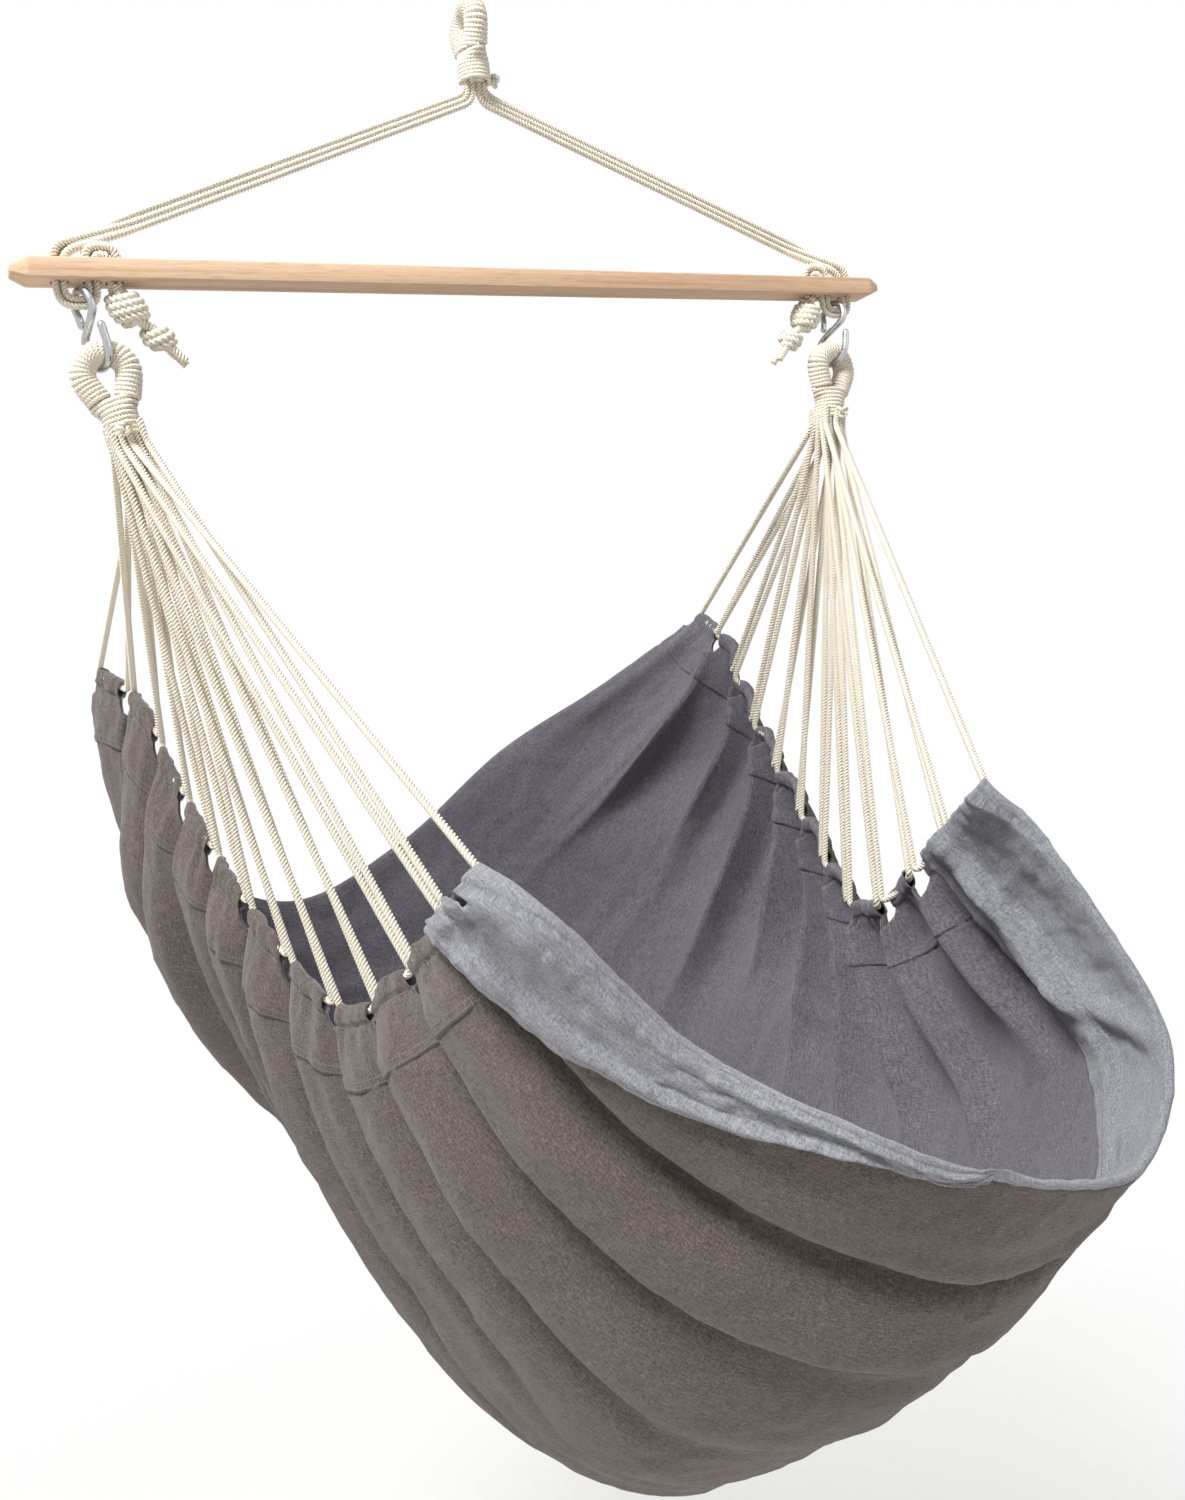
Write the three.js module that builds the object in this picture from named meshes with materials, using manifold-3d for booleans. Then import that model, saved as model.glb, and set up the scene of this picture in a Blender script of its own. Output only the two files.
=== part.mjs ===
// Hammock chair: a cotton seat hung on two fans of cord, two steel hooks, a wooden spreader bar
// and a rope triangle that ends in one whipped eye. Millimetres, +Z up.
// X runs along the bar, +Y points to the backrest, and the origin is the bearing point of the top eye.
import * as THREE from "three";
import { mergeVertices } from "three/addons/utils/BufferGeometryUtils.js";
import Module from "manifold-3d";

const wasm = await Module();
wasm.setup();

// Clearances and cutting allowances
const seat_clearance = 0.3;
const cut_overrun = 4;

// How many sides round pieces get, and how their corners are rounded
const sides = { hole: 12, cord: 6, rope_end: 8, wound_cord: 5, core: 7, wire: 8 };
const corner_limit_share = 0.72;
const corner_reach_share = 1 / 2.1;
const least_mitre_share = 0.3;

// Spreader bar
const bar_length = 1000;
const bar_depth = 35;
const bar_height = 20;
const bar_end_taper = 15;
const bar_end_inset = 6;
const rope_hole_diameter = 17;
const leg_hole_inset = 44;
const hook_hole_spacing = 30;
const knot_hole_spacing = 21;

// Suspension rope: three cords laid side by side
const rope_cord_diameter = 6.6;
const rope_cord_clearance = 0.4;
const leg_rise = 199;
const leg_lift_over_bar = 12;
const leg_start_offset = 8;
const hook_bight_drop = 19.5;
const over_bar_lift = 13;
const rope_bend = 11;
const rope_end_drop = 2;

// Stopper knots and rope ends
const rope_end_diameter = 13.5;
const rope_end_straight = 12;
const rope_end_bend = 6;
const rope_end_run = { in: 51, down: 55 };
const stopper_cord_diameter = 8.4;
const stopper_bulge = 6.5;
const stopper_turns = 3.4;
const stopper_span_share = [0.06, 0.46];
const end_knot_cord_diameter = 6;
const end_knot_bulge = 2.4;
const end_knot_turns = 2.7;
const end_knot_span_share = [0.56, 0.8];
const knot_steps = 9;

// Whipped eyes
const eye_core_diameter = 13.4;
const whip_cord_diameter = 6;
const whip_least_diameter = 2.2;
const whip_gap = 1.5;
const eye_half_width = 22;
const eye_leg_drop = 24;
const eye_leg_half_gap = 13.8;
const eye_turns = 18;
const neck_diameter = 24.4;
const neck_top_drop = 11;
const neck_length = 27;
const neck_turns = 3.1;
const neck_steps = 10;
const eye_steps = 8;
const eye_core_steps = 12;
const eye_arc_steps = 4;
const leg_end_share = { above: 1 / 6, below: 1 / 3, in: 0.8 };
const top_eye_drop = 87;
const whip_knot_size = { wide: 17, deep: 13, high: 15 };

// Steel hooks
const wire_diameter = 8;
const hook_turn_degrees = 20;
const eye_turn_degrees = 10;
const hook_ring_radius = 15;
const hook_bend_clearance = 1.8;
const eye_swing_clearance = 0.85;
const hook_ring_clearance = 0.8;
const hook_overall = 83;
const hook_tip_rise = 20;
const hang_lean_degrees = 11;
const hook_settling = 3.5;

// Turns of the hook's wire, as shares of half a turn, and its end on the shank, as shares of the ring's radius
const hook_bend_turn_share = -1.25;
const hook_ring_turn_share = [-0.15, 1.14];
const hook_bend_steps = 10;
const hook_ring_steps = 9;
const hook_end_shares = [
  [0.9, 0.83],
  [0.83, 1.19],
];

// Seat cords
const seat_cord_diameter = 6.5;
const bights = 11;
const slot_rows = 5;
const slot_row_spacing = 6.95;
const slot_step = 1.45;
const cord_lead = 8;
const cord_bend = 5;
const cord_leg_offset = 5.2;

// Header bands at both ends of the cloth
const cloth_thickness = 3;
const band_height = 78;
const band_edge_thickness = 5.2;
const tunnel_wall = 2;
const tunnel_width = 10;
const tunnel_top = 3.5;
const tunnel_depth = 8.7;
const tunnel_floor = 14;
const notch_depth = 34;
const notch_width = 25;
const back_notch_extra = 25;
const front_notch_extra = 8;
const notch_floor_share = 0.55;
const back_notch_share = [0, 0.2];
const front_notch_share = [0.9, 1];
const cloth_pleat_drop = 220;
const pleat_depth = { header: 5, band: 13, cloth: 19, middle: 3, front: 10 };

// Places on the cloth, in the bar's frame: Z is measured from the bar's centre line
const header_half_width = 414;
const header_drop = 347;
const back_reach = 345;
const front_reach = 378;
const seat_drop = 1285;
const seat_back_reach = 392;
const seat_front_reach = 548;

// The header's top edge on the right, mirrored on the left, as shares of the sizes above:
// across (half width), along (back reach or front reach), down (drop)
const header_shares = [
  [1, 1, 1],
  [0.93, 0.71, 1.14],
  [0.89, 0.5, 1.42],
  [0.815, 0.08, 1.85],
  [0.725, -0.27, 2.08],
  [0.67, -0.62, 1.94],
  [0.616, -1, 1.68],
];

// The cloth from the foot of the left band to the foot of the right one, in shares of the same kind.
// The first row is the back hem and the last is the front rim, which hangs lower on the right.
const section_shares = [
  [
    [-1.02, 0.89, 0.33], [-0.88, 0.92, 0.44], [-0.52, 0.97, 0.52], [-0.14, 1, 0.48],
    [0.24, 0.99, 0.4], [0.58, 0.95, 0.34], [0.84, 0.9, 0.3],
  ],
  [
    [-0.97, 0.59, 0.39], [-0.99, 0.65, 0.5], [-0.64, 0.84, 0.66], [-0.12, 0.88, 0.69],
    [0.31, 0.87, 0.62], [0.7, 0.77, 0.5], [0.91, 0.61, 0.39],
  ],
  [
    [-0.91, 0.34, 0.48], [-0.79, 0.38, 0.62], [-0.51, 0.41, 0.8], [-0.07, 0.43, 0.89],
    [0.36, 0.51, 0.8], [0.75, 0.48, 0.63], [0.89, 0.36, 0.48],
  ],
  [
    [-0.84, 0.05, 0.56], [-0.68, 0.08, 0.74], [-0.4, 0, 0.93], [-0.05, -0.11, 1],
    [0.39, -0.07, 0.93], [0.72, 0.05, 0.72], [0.83, 0.05, 0.56],
  ],
  [
    [-0.72, -0.23, 0.62], [-0.57, -0.29, 0.76], [-0.31, -0.38, 0.91], [0.05, -0.46, 0.94],
    [0.41, -0.47, 0.88], [0.7, -0.36, 0.73], [0.74, -0.23, 0.62],
  ],
  [
    [-0.65, -0.52, 0.57], [-0.48, -0.64, 0.68], [-0.19, -0.73, 0.79], [0.19, -0.8, 0.83],
    [0.51, -0.8, 0.79], [0.75, -0.69, 0.68], [0.7, -0.51, 0.57],
  ],
  [
    [-0.52, -0.78, 0.49], [-0.3, -0.83, 0.58], [-0.04, -0.98, 0.64], [0.28, -1, 0.7],
    [0.6, -0.98, 0.71], [0.8, -0.91, 0.65], [0.7, -0.75, 0.5],
  ],
];

// Where the pleats fade, and how high the two free edges stand between a valley (-1) and a ridge (1)
const middle_fade_share = [0.16, 0.5];
const front_rise_share = [0.66, 0.85];
const right_fade_share = [0.5, 0.8];
const rim_crest_share = { back: 0.2, front: 0.5 };
const slope_step_share = 0.01;
const rounding_share = 1e-9;

const palette = {
  wood: [0xd2ae8e, 0.62, 0],
  rope: [0xe6ddca, 0.9, 0],
  steel: [0xb9bec2, 0.32, 1],
  cloth: [0x6f6c6e, 0.95, 0],
};

const object = new THREE.Group();
const vec = (x, y, z) => new THREE.Vector3(x, y, z);
const bar_z = -(top_eye_drop + leg_rise);

function material(name) {
  const [color, roughness, metalness] = palette[name];
  return new THREE.MeshStandardMaterial({ color, roughness, metalness });
}

function add(parent, name, geometry, look) {
  const mesh = new THREE.Mesh(geometry, material(look));
  mesh.name = name;
  parent.add(mesh);
  return mesh;
}

function solid_of(geometry) {
  const bare = geometry.index ? geometry.toNonIndexed() : geometry.clone();
  bare.deleteAttribute("normal");
  bare.deleteAttribute("uv");
  const merged = mergeVertices(bare, 1e-4);
  return new wasm.Manifold(
    new wasm.Mesh({
      numProp: 3,
      vertProperties: new Float32Array(merged.attributes.position.array),
      triVerts: new Uint32Array(merged.index.array),
    }),
  );
}

function geometry_of(solid) {
  const mesh = solid.getMesh();
  const geometry = new THREE.BufferGeometry();
  geometry.setAttribute("position", new THREE.BufferAttribute(mesh.vertProperties, 3));
  geometry.setIndex(new THREE.BufferAttribute(mesh.triVerts, 1));
  return geometry;
}

function indexed(points, faces) {
  const geometry = new THREE.BufferGeometry();
  geometry.setAttribute("position", new THREE.Float32BufferAttribute(points.flatMap((p) => p.toArray()), 3));
  geometry.setIndex(faces);
  return geometry;
}

// A closed tube through a list of points, whose radius may change from point to point.
function tube(points, radius, sides) {
  const radius_at = typeof radius === "function" ? radius : () => radius;
  const last = points.length - 1;
  const tangents = points.map((_, i) =>
    points[Math.min(i + 1, last)].clone().sub(points[Math.max(i - 1, 0)]).normalize(),
  );
  const across = Math.abs(tangents[0].z) < 0.9 ? vec(0, 0, 1) : vec(1, 0, 0);
  const vertices = [];
  const faces = [];
  for (let i = 0; i <= last; i++) {
    across.addScaledVector(tangents[i], -across.dot(tangents[i])).normalize();
    const other = tangents[i].clone().cross(across);
    for (let k = 0; k < sides; k++) {
      const a = (2 * Math.PI * k) / sides;
      const r = radius_at(i);
      vertices.push(
        points[i].clone().addScaledVector(across, r * Math.cos(a)).addScaledVector(other, r * Math.sin(a)),
      );
    }
  }
  for (let i = 0; i < last; i++) {
    for (let k = 0; k < sides; k++) {
      const a = i * sides + k;
      const b = i * sides + ((k + 1) % sides);
      faces.push(a, b, b + sides, a, b + sides, a + sides);
    }
  }
  for (let k = 1; k < sides - 1; k++) {
    faces.push(0, k + 1, k);
    faces.push(last * sides, last * sides + k, last * sides + k + 1);
  }
  return indexed(vertices, faces);
}

// Rounds every sharp corner of a route with a short arc.
function rounded(points, bend, steps = 2) {
  const route = [points[0]];
  for (let i = 1; i < points.length - 1; i++) {
    const back = points[i - 1].clone().sub(points[i]);
    const on = points[i + 1].clone().sub(points[i]);
    const reach = Math.min(bend, corner_reach_share * back.length(), corner_reach_share * on.length());
    if (back.angleTo(on) > corner_limit_share * Math.PI) {
      route.push(points[i]);
      continue;
    }
    const start = points[i].clone().addScaledVector(back.normalize(), reach);
    const end = points[i].clone().addScaledVector(on.normalize(), reach);
    route.push(...new THREE.QuadraticBezierCurve3(start, points[i], end).getPoints(steps));
  }
  route.push(points[points.length - 1]);
  return route;
}

// The least gap between two stretches of one tube that are not neighbours along it.
function least_gap(points, radius_at, apart) {
  const along = [0];
  for (let i = 1; i < points.length; i++) along.push(along[i - 1] + points[i].distanceTo(points[i - 1]));
  let least = Infinity;
  for (let i = 0; i < points.length; i++) {
    for (let j = i + 1; j < points.length; j++) {
      if (along[j] - along[i] < apart) continue;
      least = Math.min(least, points[i].distanceTo(points[j]) - radius_at(i) - radius_at(j));
    }
  }
  return least;
}

// Spreader bar

function spreader_bar() {
  const half_depth = bar_depth / 2 - bar_end_inset;
  const half_height = bar_height / 2 - bar_end_inset;
  const section = new THREE.Shape([
    new THREE.Vector2(-half_depth, -half_height),
    new THREE.Vector2(half_depth, -half_height),
    new THREE.Vector2(half_depth, half_height),
    new THREE.Vector2(-half_depth, half_height),
  ]);
  const blank = new THREE.ExtrudeGeometry(section, {
    depth: bar_length - 2 * bar_end_taper,
    bevelEnabled: true,
    bevelThickness: bar_end_taper,
    bevelSize: bar_end_inset,
    bevelSegments: 1,
  });
  blank.translate(0, 0, -bar_length / 2 + bar_end_taper);
  blank.rotateY(Math.PI / 2).rotateX(Math.PI / 2);
  let bar = solid_of(blank);
  for (const side of [-1, 1]) {
    for (const x of hole_places()) {
      const drill = new THREE.CylinderGeometry(
        rope_hole_diameter / 2,
        rope_hole_diameter / 2,
        bar_height + 2 * cut_overrun,
        sides.hole,
      );
      drill.rotateX(Math.PI / 2).translate(side * x, 0, 0);
      bar = bar.subtract(solid_of(drill));
    }
  }
  return geometry_of(bar);
}

function hole_places() {
  const leg = bar_length / 2 - leg_hole_inset;
  const back = leg - hook_hole_spacing;
  return [leg, back, back - knot_hole_spacing];
}

// Suspension rope

const bundle_radius = (rope_cord_diameter + rope_cord_clearance) / Math.sqrt(3);
const hook_x = hole_places()[0] - hook_hole_spacing / 2 - hook_settling;
const hook_bight_z = -(bar_height / 2 + hook_bight_drop);

// The route of the bundle's centre in the XZ plane of the bar, from the top eye's neck to the third hole.
function suspension_route() {
  const [leg, back, knot] = hole_places();
  const over = bar_height / 2 + over_bar_lift;
  const neck_end = -bar_z + eye_bearing_radius - neck_end_drop;
  return [
    [leg_start_offset, neck_end - seat_clearance],
    [leg_start_offset, leg_rise],
    [leg, bar_height / 2 + leg_lift_over_bar],
    [leg, hook_bight_z],
    [back, hook_bight_z],
    [back, over],
    [knot, over],
    [knot, -bar_height / 2 - rope_end_drop],
  ];
}

// Moves a flat route sideways in its own plane, keeping its corners mitred.
function offset_route(route, distance) {
  return route.map((point, i) => {
    const before = route[Math.max(i - 1, 0)];
    const after = route[Math.min(i + 1, route.length - 1)];
    const normals = [];
    if (i > 0) normals.push(normal_of(before, point));
    if (i < route.length - 1) normals.push(normal_of(point, after));
    const sum = normals.reduce((a, n) => a.clone().add(n), new THREE.Vector2());
    const unit = sum.clone().normalize();
    const stretch = distance / Math.max(unit.dot(normals[0]), least_mitre_share);
    return [point[0] + unit.x * stretch, point[1] + unit.y * stretch];
  });
}

function normal_of(a, b) {
  return new THREE.Vector2(b[1] - a[1], -(b[0] - a[0])).normalize();
}

function suspension_cord(side, index) {
  const angle = Math.PI / 2 + (2 * Math.PI * index) / 3;
  const sideways = bundle_radius * Math.sin(angle);
  const lift = bundle_radius * Math.cos(angle);
  const flat = offset_route(suspension_route(), lift);
  const points = flat.map(([x, z]) => vec(side * x, sideways, z));
  return tube(rounded(points, rope_bend), rope_cord_diameter / 2, sides.cord);
}

// A winding of one cord round a route: radius, thickness and pitch are given along it.
function winding(centre_at, frame_at, turns, steps_per_turn, radius_at, thickness_at, sides) {
  const steps = Math.round(turns * steps_per_turn);
  const points = [];
  const radii = [];
  for (let i = 0; i <= steps; i++) {
    const share = i / steps;
    const angle = 2 * Math.PI * turns * share;
    const [out, across] = frame_at(share);
    const thick = thickness_at(share, angle);
    const reach = wound(radius_at(share), steps_per_turn) + thick;
    radii.push(thick);
    points.push(
      centre_at(share)
        .clone()
        .addScaledVector(out, reach * Math.cos(angle))
        .addScaledVector(across, reach * Math.sin(angle)),
    );
  }
  return { points, radii, geometry: tube(points, (i) => radii[i], sides) };
}

// Rope end below the third hole, with its two knots

function rope_end_line() {
  const x = hole_places()[2];
  const z = -bar_height / 2 - rope_end_drop - seat_clearance;
  const turn = vec(x, 0, z - rope_end_straight);
  const end = vec(x - rope_end_run.in, 0, turn.z - rope_end_run.down);
  return { top: vec(x, 0, z), turn, end };
}

function rope_end(side) {
  const { top, turn, end } = rope_end_line();
  const points = [top, turn, end].map((p) => vec(side * p.x, p.y, p.z));
  return tube(rounded(points, rope_end_bend, 3), rope_end_diameter / 2, sides.rope_end);
}

function knot_winding(side, [from, to], turns, cord, bulge) {
  const { turn, end } = rope_end_line();
  const line = end.clone().sub(turn);
  const out = vec(line.z, 0, -line.x).normalize();
  const made = winding(
    (share) => turn.clone().addScaledVector(line, from + (to - from) * share),
    () => [out, vec(0, 1, 0)],
    turns,
    knot_steps,
    (share) => rope_end_diameter / 2 + bulge * Math.sin(Math.PI * share),
    () => cord / 2,
    sides.wound_cord,
  );
  if (side < 0) mirror_x(made.geometry);
  return made;
}

function add_knot(side, name, span_share, turns, cord, bulge) {
  const made = knot_winding(side, span_share, turns, cord, bulge);
  add(below_eye, name, made.geometry, "rope");
  report_gap(name, made);
}

function mirror_x(geometry) {
  geometry.scale(-1, 1, 1);
  const index = geometry.index.array;
  for (let i = 0; i < index.length; i += 3) [index[i + 1], index[i + 2]] = [index[i + 2], index[i + 1]];
  return geometry;
}

// Whipped eyes: a teardrop of gathered cords, wound all round, over a wound neck

const wound = (radius, steps) => (radius + seat_clearance) / Math.cos(Math.PI / steps);
const eye_outer_radius = wound(eye_core_diameter / 2, eye_steps) + whip_cord_diameter;
const eye_bearing_radius = wound(eye_core_diameter / 2, eye_steps) + whip_least_diameter;
const neck_outer_radius = wound(neck_diameter / 2, neck_steps) + whip_cord_diameter;
const neck_end_drop = eye_half_width + eye_leg_drop + neck_top_drop + neck_length;

// The teardrop's centre line, from one leg over the top to the other, in its XZ plane.
function eye_curve() {
  const low = -eye_half_width - eye_leg_drop;
  const curve = new THREE.CurvePath();
  const arc = (sign) =>
    Array.from({ length: eye_arc_steps + 1 }, (_, i) => {
      const a = (Math.PI / 2) * (1 + sign * (1 - i / eye_arc_steps));
      return vec(eye_half_width * Math.cos(a), 0, eye_half_width * (Math.sin(a) - 1));
    });
  const left = arc(1);
  const right = arc(-1).reverse();
  const points = [vec(-eye_leg_half_gap, 0, low), ...left, ...right.slice(1), vec(eye_leg_half_gap, 0, low)];
  curve.add(new THREE.CatmullRomCurve3(points, false, "centripetal"));
  return curve;
}

function eye_core() {
  const curve = eye_curve();
  const low = -eye_half_width - eye_leg_drop;
  const neck_top = low - neck_top_drop;
  const inside = (neck_diameter - eye_core_diameter) / 2;
  const foot = (sign) => [
    vec(sign * inside, 0, neck_top + leg_end_share.above * eye_core_diameter),
    vec(sign * inside * leg_end_share.in, 0, neck_top - leg_end_share.below * eye_core_diameter),
  ];
  const loop = [...foot(-1).reverse(), ...curve.getSpacedPoints(eye_core_steps), ...foot(1)];
  const neck = new THREE.CylinderGeometry(neck_diameter / 2, neck_diameter / 2, neck_length, neck_steps);
  neck.rotateX(Math.PI / 2).translate(0, 0, neck_top - neck_length / 2);
  return geometry_of(solid_of(tube(loop, eye_core_diameter / 2, sides.core)).add(solid_of(neck)));
}

function eye_whipping() {
  const curve = eye_curve();
  const pitch = curve.getLength() / eye_turns;
  const plane = vec(0, 1, 0);
  const outward = (share) => curve.getTangentAt(share).cross(plane);
  const bent = (share) => {
    const a = Math.max(share - slope_step_share, 0);
    const b = Math.min(share + slope_step_share, 1);
    const turn = curve.getTangentAt(a).angleTo(curve.getTangentAt(b));
    return turn / ((b - a) * curve.getLength());
  };
  return winding(
    (share) => curve.getPointAt(share),
    (share) => [outward(share), plane],
    eye_turns,
    eye_steps,
    () => eye_core_diameter / 2,
    (share, angle) => {
      const reach = eye_core_diameter / 2 + whip_cord_diameter / 2;
      const local = pitch * (1 + bent(share) * reach * Math.cos(angle));
      const room = Math.max(local - whip_gap, whip_least_diameter);
      return Math.min(room, whip_cord_diameter) / 2;
    },
    sides.wound_cord,
  );
}

function neck_whipping() {
  const top = -eye_half_width - eye_leg_drop - neck_top_drop - whip_cord_diameter / 2;
  const travel = neck_length - whip_cord_diameter;
  return winding(
    (share) => vec(0, 0, top - travel * share),
    () => [vec(1, 0, 0), vec(0, 1, 0)],
    neck_turns,
    neck_steps,
    () => neck_diameter / 2,
    () => whip_cord_diameter / 2,
    sides.wound_cord,
  );
}

// The whipping's knot lies against a corner of the neck's winding.
function whip_knot() {
  const { wide, deep, high } = whip_knot_size;
  const knot = new THREE.SphereGeometry(1, 8, 6);
  knot.rotateX(Math.PI / 2).scale(wide / 2, deep / 2, high / 2);
  knot.translate(0, -neck_outer_radius - seat_clearance - deep / 2, -neck_end_drop + high / 2);
  return knot.rotateZ(-Math.PI / neck_steps);
}

function add_eye(parent, prefix) {
  add(parent, prefix + "_core", eye_core(), "rope");
  const loop = eye_whipping();
  const neck = neck_whipping();
  add(parent, prefix + "_whipping", loop.geometry, "rope");
  add(parent, prefix + "_neck_whipping", neck.geometry, "rope");
  add(parent, prefix + "_knot", whip_knot(), "rope");
  report_gap(prefix + "_whipping", loop);
  report_gap(prefix + "_neck_whipping", neck);
}

function report_gap(name, made) {
  const gap = least_gap(made.points, (i) => made.radii[i], 3 * made.radii[0] * 2);
  console.log(name + " least gap to itself " + gap.toFixed(2) + " mm");
}

// Steel hook: a closed ring above and an open bend below, bent from one wire.
// Hook, eye and fan of cords hang in line with the pull, so they lean in from the rope's bight,
// and their heights are counted along that line from the bight.

const lean = THREE.MathUtils.degToRad(hang_lean_degrees);
const hung = new THREE.Matrix4().makeRotationY(lean).setPosition(hook_x, 0, hook_bight_z);
const hook_bend_radius = eye_outer_radius + hook_bend_clearance + wire_diameter / 2;
const bundle_reach = bundle_radius + rope_cord_diameter / 2;
const hook_ring_top = (bundle_reach + wire_diameter / 2) / Math.cos(lean) + hook_ring_clearance;
const hook_bend_bottom = hook_ring_top - hook_overall + wire_diameter;

function hook() {
  const ring_centre = hook_ring_top - hook_ring_radius;
  const bend_centre = hook_bend_bottom + hook_bend_radius;
  const round = (centre, radius, from, to, steps) =>
    Array.from({ length: steps + 1 }, (_, i) => {
      const a = Math.PI * THREE.MathUtils.lerp(from, to, i / steps);
      return vec(radius * Math.cos(a), 0, centre + radius * Math.sin(a));
    });
  const [ring_start, ring_end] = hook_ring_turn_share;
  const points = [
    vec(hook_bend_radius, 0, bend_centre + hook_tip_rise),
    ...round(bend_centre, hook_bend_radius, 0, hook_bend_turn_share, hook_bend_steps),
    ...round(ring_centre, hook_ring_radius, ring_start, ring_end, hook_ring_steps),
    ...hook_end_shares.map(([x, z]) => vec(-x * hook_ring_radius, 0, ring_centre - z * hook_ring_radius)),
  ];
  return tube(points, wire_diameter / 2, sides.wire);
}

// Cloth surface: lines across the cloth, from the left header over the seat to the right header

const smooth_curve = (points) => new THREE.CatmullRomCurve3(points, false, "centripetal");
const smooth = ([a, b], t) => THREE.MathUtils.smoothstep(t, a, b);
const reach_of = (share, back, front) => share * (share > 0 ? back : front);
const header_curve = smooth_curve(
  header_shares.map(([x, y, z]) =>
    vec(x * header_half_width, reach_of(y, back_reach, front_reach), -z * header_drop),
  ),
);
const column_curves = section_shares[0].map((_, column) =>
  smooth_curve(
    section_shares.map((row) => {
      const [x, y, z] = row[column];
      return vec(x * header_half_width, reach_of(y, seat_back_reach, seat_front_reach), -z * seat_drop);
    }),
  ),
);
const side_eye_z = hook_bend_bottom + wire_diameter / 2 + eye_swing_clearance + eye_bearing_radius;
const fan_z = side_eye_z - neck_end_drop;
const columns = 20;
const rows_per_bight = 2;
const rows = bights * rows_per_bight;
const sections = new Map();

// The line across the cloth at v, which is 0 at the back hem and 1 at the front rim.
function section(v) {
  if (!sections.has(v)) {
    const right = header_curve.getPointAt(v);
    const left = vec(-right.x, right.y, right.z);
    sections.set(v, smooth_curve([left, ...column_curves.map((curve) => curve.getPoint(v)), right]));
  }
  return sections.get(v);
}

// The share of that line at which it lies a depth below the top edge of one header.
function share_at(side, v, depth) {
  const share = depth / section(v).getLength();
  return side < 0 ? share : 1 - share;
}

// Directions of the smooth cloth: along it to the front rim, across it to the right, and outward.
function directions(v, share) {
  const clamp = (t) => THREE.MathUtils.clamp(t, 0, 1);
  const at = (a, b) => section(clamp(a)).getPointAt(clamp(b));
  const h = slope_step_share;
  const along = at(v + h, share).sub(at(v - h, share)).normalize();
  const across = at(v, share + h).sub(at(v, share - h)).normalize();
  return { along, across, out: across.clone().cross(along).normalize() };
}

// Height of the pleats at v, from -1 at a cut-out to 1 between two.
function crest(v) {
  if (v === 0) return rim_crest_share.back;
  if (v === 1) return rim_crest_share.front;
  const share = v * bights - Math.floor(v * bights + rounding_share);
  return 1 - 4 * Math.abs(share - 0.5);
}

// How far the pleats stand out: least at the header and in the middle, most below the band.
function fold_depth(v, share) {
  const { header, band, cloth, middle, front } = pleat_depth;
  const nearest = Math.min(share, 1 - share);
  const depth = nearest * section(v).getLength();
  const on_band = header + (band - header) * smooth([0, band_height], depth);
  const near = on_band + (cloth - band) * smooth([band_height, cloth_pleat_drop], depth);
  const forward = smooth(front_rise_share, v) * (1 - smooth(right_fade_share, share));
  const far = middle + (front - middle) * forward;
  return THREE.MathUtils.lerp(near, far, smooth(middle_fade_share, nearest));
}

function cloth_point(v, share, off) {
  const height = fold_depth(v, share) * crest(v) + off;
  return section(v).getPointAt(share).addScaledVector(directions(v, share).out, height);
}

// A point of the header band: v along it, depth below its top edge, off its middle layer.
function header_point(side, v, depth, off) {
  const row = Math.min(Math.floor(v * rows + rounding_share), rows - 1);
  const station = (i) => cloth_point(i / rows, share_at(side, i / rows, depth), off);
  return station(row).lerp(station(row + 1), v * rows - row);
}

// The cloth from the left band (j = 0) to the right one; layer 0 is its outer side.
function seat_cloth() {
  const vertices = [];
  const faces = [];
  const start = band_height + seat_clearance;
  const place = (i, j, layer) => {
    const v = i / rows;
    const share = THREE.MathUtils.lerp(share_at(-1, v, start), share_at(1, v, start), j / columns);
    return cloth_point(v, share, ((layer ? -1 : 1) * cloth_thickness) / 2);
  };
  for (let layer = 0; layer < 2; layer++) {
    for (let i = 0; i <= rows; i++) {
      for (let j = 0; j <= columns; j++) vertices.push(place(i, j, layer));
    }
  }
  const id = (i, j, layer) => layer * (rows + 1) * (columns + 1) + i * (columns + 1) + j;
  const quad = (a, b, c, d) => faces.push(a, b, c, a, c, d);
  for (let i = 0; i < rows; i++) {
    for (let j = 0; j < columns; j++) {
      quad(id(i, j, 0), id(i, j + 1, 0), id(i + 1, j + 1, 0), id(i + 1, j, 0));
      quad(id(i, j, 1), id(i + 1, j, 1), id(i + 1, j + 1, 1), id(i, j + 1, 1));
    }
    quad(id(i, 0, 0), id(i + 1, 0, 0), id(i + 1, 0, 1), id(i, 0, 1));
    quad(id(i, columns, 0), id(i, columns, 1), id(i + 1, columns, 1), id(i + 1, columns, 0));
  }
  for (let j = 0; j < columns; j++) {
    quad(id(0, j, 0), id(0, j, 1), id(0, j + 1, 1), id(0, j + 1, 0));
    quad(id(rows, j, 0), id(rows, j + 1, 0), id(rows, j + 1, 1), id(rows, j, 1));
  }
  return indexed(vertices, faces);
}

// Header band: two layers with a tunnel between them, cut open where the cords turn in

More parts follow.
